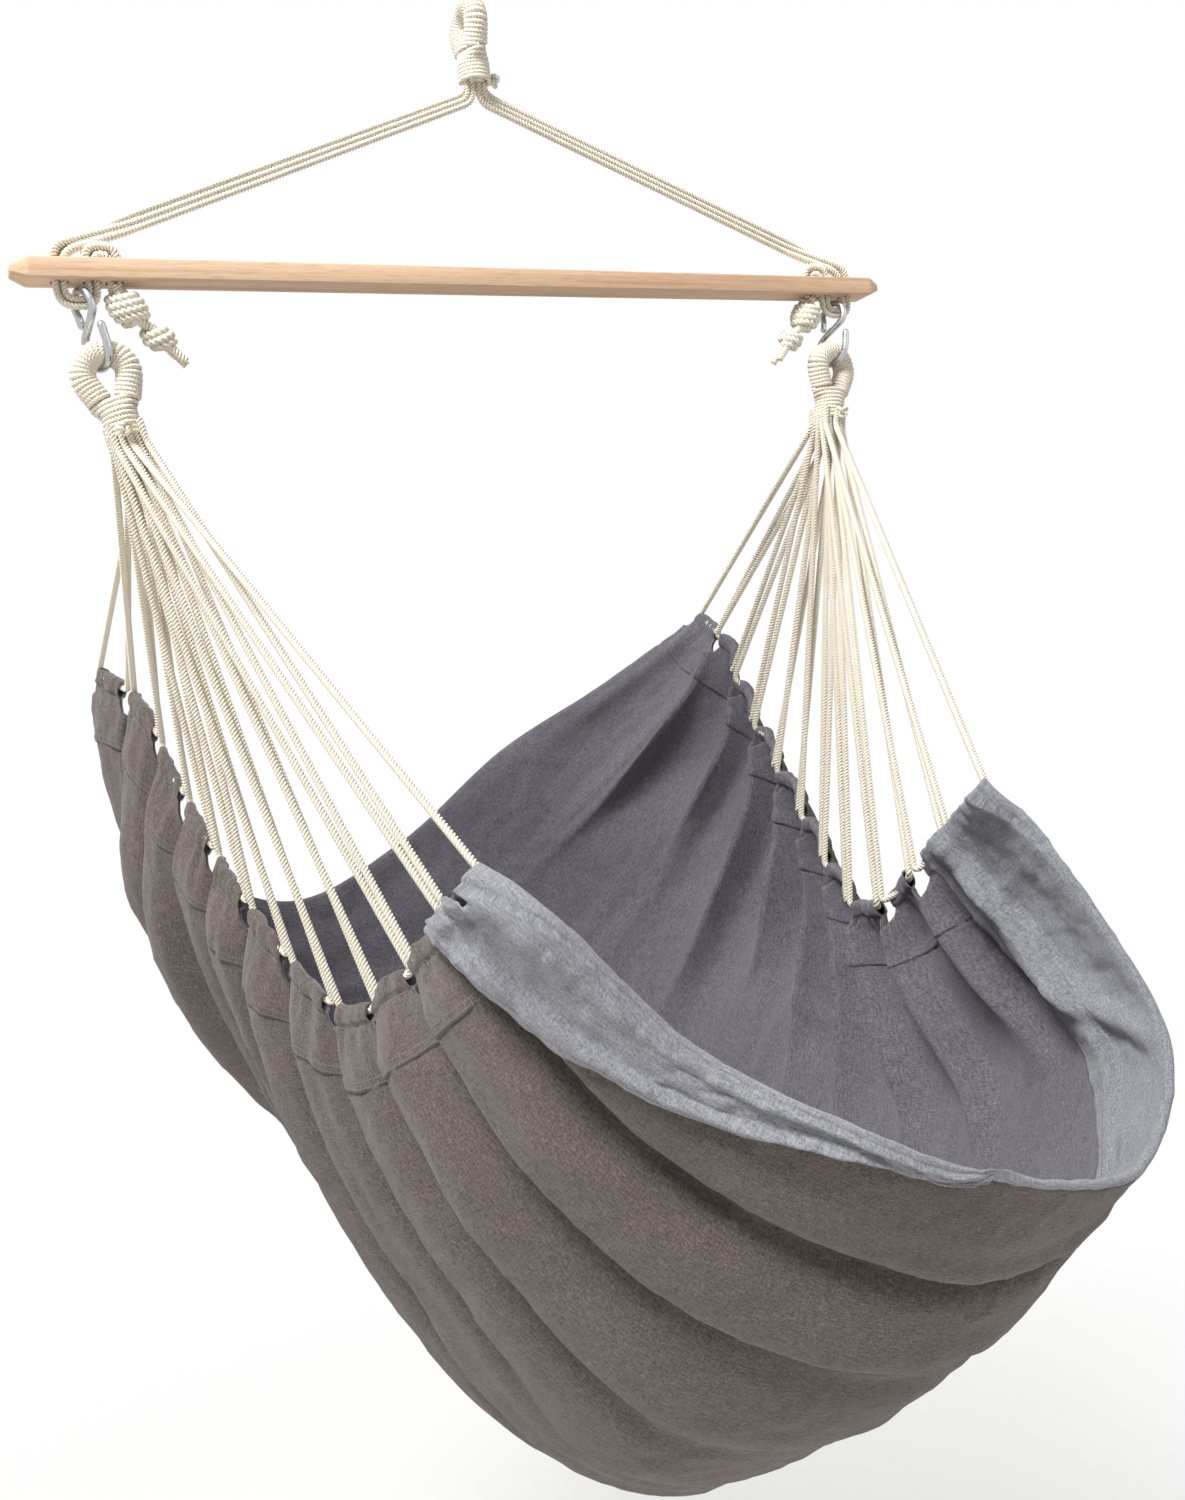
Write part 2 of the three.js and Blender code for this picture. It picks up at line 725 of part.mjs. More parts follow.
function header_band(side) {
  const half = tunnel_width / 2;
  const edge = band_edge_thickness / 2;
  const outer = [
    [-edge, band_height],
    [-half - tunnel_wall, tunnel_floor],
    [-half, tunnel_wall / 2],
    [half, tunnel_wall / 2],
    [half + tunnel_wall, tunnel_floor],
    [edge, band_height],
  ];
  const inner = [
    [-half, tunnel_floor],
    [half, tunnel_floor],
    [half - tunnel_wall / 2, tunnel_top],
    [-half + tunnel_wall / 2, tunnel_top],
  ];
  let band = solid_of(swept(side, outer)).subtract(solid_of(swept(side, inner, seat_clearance)));
  for (let k = 0; k <= bights; k++) band = band.subtract(solid_of(notch(side, k / bights)));
  return geometry_of(band);
}

function swept(side, profile, overrun = 0) {
  const vertices = [];
  const faces = [];
  const n = profile.length;
  for (let i = 0; i <= rows; i++) {
    const v = i / rows;
    const push = i === 0 ? -overrun : i === rows ? overrun : 0;
    const beyond = directions(v, share_at(side, v, 0)).along.multiplyScalar(push);
    for (const [off, depth] of profile) vertices.push(header_point(side, v, depth, off).add(beyond));
  }
  for (let i = 0; i < rows; i++) {
    for (let k = 0; k < n; k++) {
      const a = i * n + k;
      const b = i * n + ((k + 1) % n);
      faces.push(a, b, b + n, a, b + n, a + n);
    }
  }
  for (let k = 1; k < n - 1; k++) {
    faces.push(0, k + 1, k);
    faces.push(rows * n, rows * n + k, rows * n + k + 1);
  }
  const geometry = indexed(vertices, faces);
  if (signed_volume(geometry) < 0) flip(geometry);
  return geometry;
}

function signed_volume(geometry) {
  const p = geometry.attributes.position;
  const index = geometry.index.array;
  let sum = 0;
  const at = (i) => vec(p.getX(i), p.getY(i), p.getZ(i));
  for (let i = 0; i < index.length; i += 3) sum += at(index[i]).dot(at(index[i + 1]).cross(at(index[i + 2])));
  return sum;
}

function flip(geometry) {
  const index = geometry.index.array;
  for (let i = 0; i < index.length; i += 3) [index[i + 1], index[i + 2]] = [index[i + 2], index[i + 1]];
}

// The cords of the back corner come in at a slant, so the cut-outs there are wider.
function notch(side, v) {
  const back_extra = back_notch_extra * (1 - smooth(back_notch_share, v));
  const width = notch_width + back_extra + front_notch_extra * smooth(front_notch_share, v);
  const half = width / 2;
  const outline = new THREE.Shape();
  outline.moveTo(-half, width);
  outline.lineTo(half, width);
  outline.lineTo(half * notch_floor_share, -notch_depth);
  outline.lineTo(-half * notch_floor_share, -notch_depth);
  const reach = tunnel_width + 2 * tunnel_wall + 2 * pleat_depth.band;
  const cutter = new THREE.ExtrudeGeometry(outline, { depth: 2 * reach, bevelEnabled: false });
  cutter.translate(0, 0, -reach);
  const { across, out } = directions(v, share_at(side, v, notch_depth / 2));
  const up = across.multiplyScalar(side);
  const place = new THREE.Matrix4().makeBasis(up.clone().cross(out), up, out);
  return cutter.applyMatrix4(place.setPosition(section(v).getPointAt(share_at(side, v, 0))));
}

// Seat cords: each bight leaves the neck, runs through one tunnel and comes back to the neck

const row_order = [0, 2, 4, 1, 3];

// Where a cord leaves the neck, or the point below that by a lead, in the bar's frame.
function slot(side, index, lead) {
  const row = row_order[index % slot_rows] - (slot_rows - 1) / 2;
  const step = index - (2 * bights - 1) / 2;
  const place = vec(row * slot_row_spacing, -step * slot_step, fan_z - seat_clearance - lead);
  place.applyMatrix4(hung);
  place.x *= side;
  return place;
}

function seat_cord(side, k) {
  const segment = header_curve.getLength() / bights;
  const leg_share = cord_leg_offset / segment;
  const enter = (k + leg_share) / bights;
  const leave = (k + 1 - leg_share) / bights;
  const at = (v) => header_point(side, v, tunnel_depth, 0);
  const lead_in = slot(side, 2 * k, cord_lead);
  const lead_out = slot(side, 2 * k + 1, cord_lead);
  const turns = rounded([lead_in, at(enter), at((k + 0.5) / bights), at(leave), lead_out], cord_bend);
  const route = [slot(side, 2 * k, 0), ...turns, slot(side, 2 * k + 1, 0)];
  // The cords of the back half are laid from the back leg on, and those of the front half from the front leg.
  return tube(2 * k < bights - 1 ? route : route.reverse(), seat_cord_diameter / 2, sides.cord);
}

// Assembly

const top_eye = new THREE.Group();
top_eye.rotation.z = Math.PI / 2;
top_eye.position.z = eye_bearing_radius;
add_eye(top_eye, "top_eye");
object.add(top_eye);

const below_eye = new THREE.Group();
below_eye.position.z = bar_z;
object.add(below_eye);
add(below_eye, "spreader_bar", spreader_bar(), "wood");

for (const [side, word] of [[-1, "left"], [1, "right"]]) {
  for (let i = 0; i < 3; i++) {
    add(below_eye, word + "_suspension_cord_" + (i + 1), suspension_cord(side, i), "rope");
  }
  add(below_eye, word + "_rope_end", rope_end(side), "rope");
  add_knot(side, word + "_stopper_knot", stopper_span_share, stopper_turns, stopper_cord_diameter, stopper_bulge);
  add_knot(side, word + "_end_knot", end_knot_span_share, end_knot_turns, end_knot_cord_diameter, end_knot_bulge);
  const hanger = new THREE.Group();
  hanger.position.set(side * hook_x, 0, hook_bight_z);
  hanger.rotation.y = side * lean;
  below_eye.add(hanger);
  const steel = add(hanger, word + "_hook", hook(), "steel");
  steel.rotation.z = THREE.MathUtils.degToRad(hook_turn_degrees) - Math.PI / 2;
  const eye = new THREE.Group();
  eye.rotation.z = THREE.MathUtils.degToRad(eye_turn_degrees);
  eye.position.z = side_eye_z;
  add_eye(eye, word + "_eye");
  hanger.add(eye);
  for (let k = 0; k < bights; k++) {
    add(below_eye, word + "_seat_cord_" + (k + 1), seat_cord(side, k), "rope");
  }
  add(below_eye, word + "_header", header_band(side), "cloth");
}
add(below_eye, "seat_cloth", seat_cloth(), "cloth");

export default object;
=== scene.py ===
"""Hammock chair: a grey cotton seat on two fans of twisted cord, two zinc wire hooks,
a wooden spreader bar and a rope triangle that ends in one whipped eye.

Lengths are in millimetres in the bar's frame: X along the bar, Y to the backrest, Z up from the bar's
centre line. to_frame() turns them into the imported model's metres."""

import math

import bmesh
import bpy
import numpy as np
from mathutils import Matrix, Vector, noise


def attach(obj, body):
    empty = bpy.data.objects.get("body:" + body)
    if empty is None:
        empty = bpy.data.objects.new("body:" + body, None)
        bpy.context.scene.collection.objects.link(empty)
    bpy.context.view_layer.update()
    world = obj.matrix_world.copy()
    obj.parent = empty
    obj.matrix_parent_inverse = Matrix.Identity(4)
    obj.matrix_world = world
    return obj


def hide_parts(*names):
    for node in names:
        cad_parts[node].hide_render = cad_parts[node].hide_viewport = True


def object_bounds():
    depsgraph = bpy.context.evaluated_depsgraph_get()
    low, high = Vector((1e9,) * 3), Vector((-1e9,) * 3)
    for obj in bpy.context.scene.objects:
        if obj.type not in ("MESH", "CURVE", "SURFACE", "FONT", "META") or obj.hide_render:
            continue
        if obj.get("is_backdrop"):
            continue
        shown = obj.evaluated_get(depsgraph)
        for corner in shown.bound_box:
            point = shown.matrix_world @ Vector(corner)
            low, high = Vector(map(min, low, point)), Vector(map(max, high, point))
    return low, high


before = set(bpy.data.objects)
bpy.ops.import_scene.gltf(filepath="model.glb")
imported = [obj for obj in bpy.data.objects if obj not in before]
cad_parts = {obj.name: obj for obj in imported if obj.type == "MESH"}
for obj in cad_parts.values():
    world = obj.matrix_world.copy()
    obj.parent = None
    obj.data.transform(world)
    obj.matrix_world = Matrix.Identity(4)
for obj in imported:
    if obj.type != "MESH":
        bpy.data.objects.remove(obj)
cad_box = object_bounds()

TURN = 2 * math.pi
BAR_Z = -286
RINGS_PER_LAY = 12
STRANDS = 3
CORNER_STEPS = 8

# Camera, in the bar's frame
CAMERA_PLACE = (-689, -1480, -480)
CAMERA_RIGHT = (0.88856, -0.44242, -0.12132)
CAMERA_UP = (0.11814, -0.03486, 0.99238)
CAMERA_FORWARD = (0.44328, 0.89613, -0.02129)
FOCAL_LENGTH_PIXELS, FRAME_HEIGHT_PIXELS, SENSOR = 1499, 1500, 36

# Floor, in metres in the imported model's frame
FLOOR = {"z": -1.98, "half_size": 14, "fade": (0.5, 1.8), "least_white": 0.6}

# Light: each lamp's name, place, target, size, power and colour, in metres and watts
WORLD_LIGHT = 0.36
LAMPS = [
    ("key", (-2.0, -1.3, 2.3), (0, -0.1, -0.9), 1.3, 215, (0.97, 0.985, 1)),
    ("fill", (2.4, -2.6, 0.2), (0, 0, -1.0), 2.4, 14),
    ("rim", (0.6, 2.8, 1.4), (0, 0, -0.8), 2.0, 30),
]
SEEING_RAYS = ("Camera", "Glossy", "Transmission")

# Spreader bar
BAR = {"length": 1000, "depth": 35, "height": 20, "end_taper": 15, "end_inset": 6, "edge": 1.6}
HOLE_DIAMETER = 17
HOLES = (456, 426, 405)

# Suspension rope
ROPE_CORD = 7.4
BUNDLE_RADIUS = 4.04
LEG_SPREAD = 6.7
LEG_RISE = 199
LEG_START = 8
LEG_CORNER = {"before_hole": 70, "height": 49}
LEG_REST = 22
BIGHT_Z = -29.5
OVER_BAR = 11
ROPE_BEND = 16
LOOSE = 1.3
# Heights from the bar's centre line, and a cord's scale there
FULLNESS = ((-19, -11, 6, 13, 30, 46), (0.9, 1, 1, LOOSE, LOOSE, 1))
TAIL = {"cord": 8.88, "bundle": 4.2, "straight": 12, "inward": 51, "drop": 55, "flare": 1.5, "bend": 8}
STOPPER_KNOT = {"turns": 4.4, "cord": 9, "ends": 9, "middle": 14, "length": 29, "slant": 0.3}
KNOT_LAY, FILLING_LAY = 16, 30
END_KNOT = {"turns": 2.6, "cord": 8.8, "ends": 7, "middle": 10.6, "length": 19, "slant": 0.45}

# Whipped eyes
EYE = {"half_width": 21.6, "leg_drop": 24.4, "leg_gap": 13.2, "core": 17.4}
WHIP_CORD = 4.7
WHIP_PITCH = 4.2
FINE_TWIST = {"lay": 9, "step": 1.05, "depth": 0.3}
NECK = {"top_drop": 11, "length": 27, "radius": 13.2}
NECK_END = EYE["half_width"] + EYE["leg_drop"] + NECK["top_drop"] + NECK["length"]
EYE_SEAT = 9.777

# Hooks
WIRE = 8
HOOK_X = 437.5
LEAN = math.radians(11)
RING_TOP, RING_RADIUS = 12.35, 15
BEND_BOTTOM, BEND_RADIUS, TIP_RISE = -62.65, 19.38, 20
HOOK_TURN = math.radians(-70)
EYE_TURN = math.radians(10)
SIDE_EYE_Z = -48.02
FAN_Z = SIDE_EYE_Z - NECK_END

# Seat cords
SEAT_CORD = 7.7
SEAT_CORD_BEND = 7
BIGHTS = 11
SLOT_SPACING, SLOT_STEP = 6.95, 1.45
LEG_OFFSET = 5.2
ROW_ORDER = (0, 2, 4, 1, 3)
CORD_LAY = 11

# Cloth
THICKNESS = 1.1
BAND_HEIGHT = 78
TUNNEL_DEPTH = 8.7
TUNNEL_RADIUS = 5.6
TUNNEL_FLOOR = 19
NOTCH_DEPTH = 34
NOTCH_SHARE = 0.15
LAYER = 1.3
STITCH = {"pitch": 3.4, "length_share": 0.62, "width": 0.9, "height": 0.6, "off": 0.7}
CLOTH_FLAT = (1450, 1300)
RIM_LENGTH = 1092

# Creases as ((v, share), (v, share), depth, half width): v runs from the back hem to the front rim
MAIN_CREASES = [
    ((0.907, 0.05), (0.905, 0.3), 14, 9),
    ((0.905, 0.24), (0.91, 0.58), 16, 8),
    ((0.82, 0.06), (0.815, 0.3), 8, 11),
    ((0.817, 0.26), (0.84, 0.54), 14, 8),
    ((0.86, 0.16), (0.9, 0.27), -5, 14),
    ((0.735, 0.07), (0.72, 0.4), 5, 12),
    ((0.955, 0.1), (0.94, 0.4), -4, 22),
    ((0.62, 0.08), (0.66, 0.34), 5, 12),
    ((0.55, 0.1), (0.57, 0.26), 4, 11),
    ((0.45, 0.09), (0.47, 0.3), 5, 12),
    ((0.3, 0.12), (0.36, 0.3), 4, 12),
    ((0.5, 0.66), (0.56, 0.84), 5, 13),
    ((0.62, 0.7), (0.7, 0.82), 5, 12),
    ((0.72, 0.64), (0.66, 0.8), 5, 12),
    ((0.8, 0.6), (0.74, 0.76), 4, 11),
    ((0.4, 0.74), (0.44, 0.88), 4, 11),
    ((0.2, 0.4), (0.35, 0.62), 4, 15),
    ((0.86, 0.62), (0.8, 0.74), 4, 11),
]
# Widths of the front margin from the left header to the right one, as (share, width)
MARGIN_WIDTHS = [
    (0, 96), (0.08, 92), (0.12, 82), (0.175, 58), (0.25, 42), (0.33, 20), (0.38, 13),
    (0.48, 13), (0.53, 50), (0.6, 125), (0.7, 150), (0.8, 152), (0.9, 148), (1, 124),
]
# Places on the margin in millimetres: along the rim, and away from it
LEFT_CREASES = [
    ((60, 40), (170, 70), 4, 7),
    ((110, 20), (190, 60), 4, 7),
    ((150, 75), (330, 60), 5, 9),
    ((70, 70), (90, 15), 3, 6),
    ((190, 30), (300, 45), 4, 8),
    ((230, 70), (420, 40), 4, 8),
]
RIGHT_CREASES = [
    ((985, 118), (925, 112), -10, 13),
    ((925, 112), (870, 84), -15, 15),
    ((875, 88), (812, 20), -15, 17),
    ((900, 128), (850, 110), 10, 16),
    ((860, 116), (790, 50), 12, 20),
    ((1012, 118), (955, 40), 5, 8),
    ((985, 60), (930, 14), 4, 8),
    ((1050, 90), (1010, 30), 3, 7),
    ((760, 130), (720, 20), -6, 20),
]

# The top edge of each header, from the back hem to the front rim
HEADER = [
    (414, 345, -347),
    (385, 247, -395),
    (369, 189, -480),
    (337, 38, -628),
    (297, -103, -719),
    (278, -225, -675),
    (255, -378, -583),
]
# Places across the cloth from the left band's foot to the right one's, from the back hem to the front rim
SECTIONS = [
    [
        (-422, 349, -425), (-365, 362, -570), (-215, 382, -662), (-60, 392, -612),
        (100, 390, -508), (240, 374, -442), (346, 353, -384),
    ],
    [
        (-400, 232, -503), (-408, 255, -645), (-265, 330, -850), (-50, 345, -890),
        (130, 340, -800), (290, 300, -640), (375, 240, -503),
    ],
    [
        (-378, 135, -616), (-325, 150, -800), (-210, 160, -1030), (-30, 170, -1140),
        (150, 200, -1030), (310, 190, -810), (370, 140, -616),
    ],
    [
        (-348, 20, -719), (-280, 30, -950), (-165, 0, -1190), (-20, -60, -1285),
        (160, -40, -1190), (300, 20, -930), (345, 20, -719),
    ],
    [
        (-300, -125, -795), (-235, -160, -980), (-130, -210, -1170), (20, -250, -1210),
        (170, -260, -1130), (290, -200, -940), (305, -125, -795),
    ],
    [
        (-270, -285, -730), (-200, -350, -880), (-80, -400, -1010), (80, -440, -1070),
        (210, -440, -1020), (310, -380, -880), (290, -280, -732),
    ],
    [
        (-216, -430, -627), (-125, -455, -742), (-15, -535, -826), (115, -548, -893),
        (250, -535, -915), (330, -500, -830), (290, -412, -648),
    ],
]


def to_frame(p):
    return Vector((p[0], p[1], p[2] + BAR_Z)) / 1000


def smooth(a, b, t):
    s = np.clip((t - a) / (b - a), 0, 1)
    return s * s * (3 - 2 * s)


def mirrored(side, p):
    return Vector((side * p[0], p[1], p[2]))


def link(name, data):
    piece = bpy.data.objects.new(name, data)
    bpy.context.scene.collection.objects.link(piece)
    return piece


def mesh_of(name, shape):
    mesh = bpy.data.meshes.new(name)
    shape.to_mesh(mesh)
    shape.free()
    return mesh


def worked_out(piece):
    """The final mesh of a piece with its sweep or modifiers; the piece itself goes."""
    bpy.context.view_layer.update()
    mesh = bpy.data.meshes.new_from_object(piece.evaluated_get(bpy.context.evaluated_depsgraph_get()))
    bpy.data.objects.remove(piece)
    return mesh


def polyline(name, places):
    """A curve with straight runs between places in metres, and its one spline."""
    data = bpy.data.curves.new(name, "CURVE")
    data.dimensions = "3D"
    line = data.splines.new("POLY")
    line.points.add(len(places) - 1)
    line.points.foreach_set("co", np.concatenate([places, np.ones((len(places), 1))], 1).ravel())
    return data, line


def settle(piece, body, replaces=()):
    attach(piece, body)
    if replaces:
        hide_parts(*replaces)
    return piece


# Materials


class Value:
    """A shader socket. Python's operators on it add Math nodes."""

    def __init__(self, graph, socket):
        self.graph, self.socket = graph, socket

    def math(self, operation, other):
        return self.graph.node("Math", self, other, operation=operation)

    def __add__(self, other):
        return self.math("ADD", other)

    def __mul__(self, other):
        return self.math("MULTIPLY", other)

    def __pow__(self, other):
        return self.math("POWER", other)

    __radd__ = __add__
    __rmul__ = __mul__


class Graph:
    """The nodes of one material, or of the world."""

    def __init__(self, holder):
        self.holder = holder
        holder.use_nodes = True
        self.tree = holder.node_tree

    def node(self, kind, *values, out=0, stops=(), sockets=None, **settings):
        """values go to the first sockets in their order, and sockets holds the others by name."""
        made = self.tree.nodes.new("ShaderNode" + kind)
        for key, value in settings.items():
            setattr(made, key, value)
        if stops:
            self.set_stops(made.color_ramp.elements, stops)
        for socket, value in zip(made.inputs, values):
            self.feed(socket, value)
        for key, value in (sockets or {}).items():
            self.feed(made.inputs[key], value)
        return Value(self, made.outputs[out])

    def set_stops(self, elements, stops):
        while len(elements) < len(stops):
            elements.new(1)
        for element, (place, colour) in zip(elements, stops):
            element.position = place
            element.color = colour

    def feed(self, socket, value):
        if isinstance(value, Value):
            self.tree.links.new(value.socket, socket)
        else:
            socket.default_value = value

    def mix(self, factor, a, b):
        made = self.tree.nodes.new("ShaderNodeMix")
        made.data_type = "RGBA"
        for index, value in ((0, factor), (6, a), (7, b)):
            self.feed(made.inputs[index], value)
        return Value(self, made.outputs[2])

    def place(self):
        return self.node("TexCoord", out="Object")

    def scaled(self, vector, scale):
        return self.node("Mapping", vector, sockets={"Scale": scale})

    def noise(self, vector, scale, detail=2.0, roughness=0.5, out=0):
        sockets = {"Vector": vector, "Scale": scale, "Detail": detail, "Roughness": roughness}
        return self.node("TexNoise", out=out, sockets=sockets)

    def ranged(self, value, low, high, to_low, to_high):
        return self.node("MapRange", value, low, high, to_low, to_high)

    def bump(self, height, distance, strength, under=None):
        sockets = {"Strength": strength, "Distance": distance, "Height": height}
        if under:
            sockets["Normal"] = under
        return self.node("Bump", sockets=sockets)

    def seen(self):
        """1 to the camera, to gloss and to glass, and 0 to all other light."""
        camera, gloss, glass = [self.node("LightPath", out=f"Is {ray} Ray") for ray in SEEING_RAYS]
        return camera.math("MAXIMUM", gloss.math("MAXIMUM", glass))

    def finish(self, **sockets):
        for key, value in sockets.items():
            self.feed(self.tree.nodes["Principled BSDF"].inputs[key.replace("_", " ")], value)
        return self.holder


def material(name):
    return Graph(bpy.data.materials.new(name))


def shade(r, g, b):
    """A colour as seen, 0 to 255, turned to a shader's linear colour."""
    channels = [c / 255 for c in (r, g, b)]
    linear = [c / 12.92 if c <= 0.04045 else ((c + 0.055) / 1.055) ** 2.4 for c in channels]
    return (*linear, 1)


def cotton_rope():
    g = material("twisted_cotton")
    lay = g.node("Attribute", attribute_name="lay", out="Vector")
    # groove is 1 on a strand's crown and 0 between strands; it masks the painted shade in the grooves.
    groove = g.node("Attribute", attribute_name="groove", out="Fac")
    fibres = g.noise(g.scaled(lay, (1, 1, 0.22)), 2.4, 3, 0.6)
    patches = g.noise(g.place(), 28, 2)
    crown = g.mix(patches, shade(250, 243, 229), shade(240, 231, 213))
    worn = g.mix(fibres * 0.4, crown, shade(220, 208, 185))
    # Painted shade: the grooves between strands are coloured darker, shade(208, 196, 174), as shade falls
    # there.
    colour = g.mix(groove ** 0.45, shade(208, 196, 174), worn)
    normal = g.bump(fibres, 0.0004, 0.6)
    return g.finish(Base_Color=colour, Roughness=0.92, Normal=normal, Sheen_Weight=0.2, Sheen_Roughness=0.6)


def weave(name, *colours):
    """Woven cotton with thicker and lighter yarns. The UV map is in decimetres of cloth. The colours also
    hold the painted light of each copy of the cloth.
    """
    lit, dark, fleck, pale = [shade(*colour) for colour in colours]
    g = material(name)
    uv = g.node("UVMap", uv_map="UVMap")
    place = g.place()
    across = g.noise(g.scaled(uv, (8, 75, 1)), 1, 3, 0.7)
    along = g.noise(g.scaled(uv, (75, 8, 1)), 1, 3, 0.7)
    grains = g.noise(g.scaled(uv, (44, 44, 1)), 1, 4, 0.75)
    slubs = g.noise(g.scaled(uv, (11, 110, 1)), 1)
    specks = g.noise(g.scaled(uv, (70, 60, 1)), 1)
    cloudy = g.noise(place, 9, 3, 0.55)
    yarns = g.ranged(across * 0.3 + along * 0.25 + grains * 0.45, 0.42, 0.58, 0, 1)
    base = g.mix(yarns, dark, lit)
    base = g.mix(g.ranged(slubs, 0.6, 0.72, 0, 0.5), base, pale)
    base = g.mix(g.ranged(specks, 0.6, 0.7, 0, 0.75), base, fleck)
    colour = g.mix(g.ranged(cloudy, 0.35, 0.7, 0, 0.25), base, dark)
    threads = [g.node("TexWave", uv, 32.0, 0.6, 2.0, 1.5, bands_direction=way, out=1) for way in "XY"]
    height = threads[0] * 0.4 + threads[1] * 0.4 + yarns * 0.9
    crumple = g.bump(g.noise(place, 60, 4, 0.6), 0.0022, 0.45)
    normal = g.bump(height, 0.0005, 0.6, crumple)
    return g.finish(Base_Color=colour, Roughness=0.95, Normal=normal, Sheen_Weight=0.2, Sheen_Roughness=0.5)


GRAIN = [
    (0.28, (176, 136, 102)),
    (0.45, (203, 166, 133)),
    (0.6, (218, 184, 152)),
    (0.78, (196, 157, 123)),
]


def oiled_wood():
    g = material("light_wood")
    place = g.place()
    drift = g.noise(g.scaled(place, (3, 20, 20)), 1, out=1)
    small_drift = g.node("VectorMath", drift, operation="SCALE", sockets={"Scale": 0.012})
    bent = g.node("VectorMath", place, small_drift, operation="ADD")
    rings = g.noise(g.scaled(bent, (2.2, 85, 140)), 1, 4, 0.6)
    pores = g.noise(g.scaled(place, (45, 900, 900)), 1, 2, 0.6)
    broad = g.noise(g.scaled(place, (2.5, 14, 14)), 1)
    base = g.node("ValToRGB", rings, stops=[(at, shade(*colour)) for at, colour in GRAIN])
    base = g.mix(broad * 0.5, base, shade(224, 192, 162))
    colour = g.mix(g.ranged(pores, 0.52, 0.72, 0, 0.4), base, shade(150, 110, 80))
    normal = g.bump(rings * 0.6 + pores * 0.4, 0.0003, 0.45)
    return g.finish(Base_Color=colour, Roughness=g.ranged(rings, 0.3, 0.7, 0.5, 0.68), Normal=normal)


def zinc():
    g = material("zinc_wire")
    place = g.place()
    clouds = g.noise(place, 320, 3)
    drawn = g.noise(g.scaled(place, (900, 900, 120)), 1)
    colour = g.mix(clouds, shade(164, 166, 168), shade(206, 208, 209))
    rough = g.ranged(clouds, 0.3, 0.7, 0.2, 0.36)
    return g.finish(Base_Color=colour, Metallic=1.0, Roughness=rough, Normal=g.bump(drawn, 0.0001, 0.3))


ROPE = cotton_rope()
# One fabric in three copies with painted light: the outside darker and warmer as in shade, the inside lighter
# and bluer as lit, the margin lightest as in full light.
OUTSIDE_SHADED = weave("cloth_outside_shaded", (125, 113, 107), (73, 65, 61), (40, 35, 34), (172, 163, 157))
INSIDE_LIT = weave("cloth_inside_lit", (135, 131, 139), (83, 79, 87), (48, 45, 53), (180, 177, 184))
MARGIN_LIT = weave("cloth_margin_lit", (170, 170, 176), (118, 117, 123), (76, 75, 82), (205, 205, 210))
THREAD = material("sewing_thread").finish(Base_Color=shade(128, 123, 124), Roughness=0.8)
WOOD = oiled_wood()
STEEL = zinc()


# Camera, light and floor


def set_camera():
    data = bpy.data.cameras.new("camera")
    data.sensor_width = SENSOR
    data.lens = FOCAL_LENGTH_PIXELS / FRAME_HEIGHT_PIXELS * SENSOR
    camera = link("camera", data)
    axes = Matrix((CAMERA_RIGHT, CAMERA_UP, -Vector(CAMERA_FORWARD))).transposed()
    camera.matrix_world = Matrix.Translation(to_frame(CAMERA_PLACE)) @ axes.to_4x4()
    bpy.context.scene.camera = camera


def set_lamp(name, place, target, size, power, colour=(1, 1, 1)):
    data = bpy.data.lights.new(name, "AREA")
    data.size, data.energy, data.color = size, power, colour
    lamp = link(name, data)
    lamp.location = place
    lamp.rotation_euler = (Vector(target) - Vector(place)).to_track_quat("-Z", "Y").to_euler()


def set_floor():
    """A pale floor that keeps the shadow near the chair and turns to plain white further out."""
    shape = bmesh.new()
    bmesh.ops.create_grid(shape, x_segments=1, y_segments=1, size=FLOOR["half_size"])
    bmesh.ops.translate(shape, vec=(0, 0, FLOOR["z"]), verts=shape.verts)
    mesh = mesh_of("floor", shape)
    g = material("floor")
    flat = g.node("VectorMath", g.place(), (1, 1, 0), operation="MULTIPLY")
    distance = g.node("VectorMath", flat, operation="LENGTH", out="Value")
    white = g.ranged(distance, *FLOOR["fade"], FLOOR["least_white"], 1)
    pale = g.node("BsdfDiffuse", (0.88, 0.86, 0.83, 1))
    mixed = g.node("MixShader", white * g.seen(), pale, g.node("Emission"))
    g.feed(g.tree.nodes["Material Output"].inputs["Surface"], mixed)
    mesh.materials.append(g.holder)
    link("floor", mesh)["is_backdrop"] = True


def set_studio():
    """The camera and gloss see plain white where the world's own light is weaker."""
    world = bpy.data.worlds.new("studio")
    bpy.context.scene.world = world
    g = Graph(world)
    background = g.tree.nodes["Background"]
    g.feed(background.inputs["Color"], (1, 1, 1, 1))
    g.feed(background.inputs["Strength"], g.ranged(g.seen(), 0, 1, WORLD_LIGHT, 1))
    for lamp in LAMPS:
        set_lamp(*lamp)
    set_floor()


# Curves


def arc(middle, radius, start, end, count):
    """Points of an arc in the XZ plane round a middle on the Z axis; its angles are in half turns."""
    angles = np.linspace(start, end, count) * math.pi
    return [(radius * math.cos(a), 0, middle + radius * math.sin(a)) for a in angles]


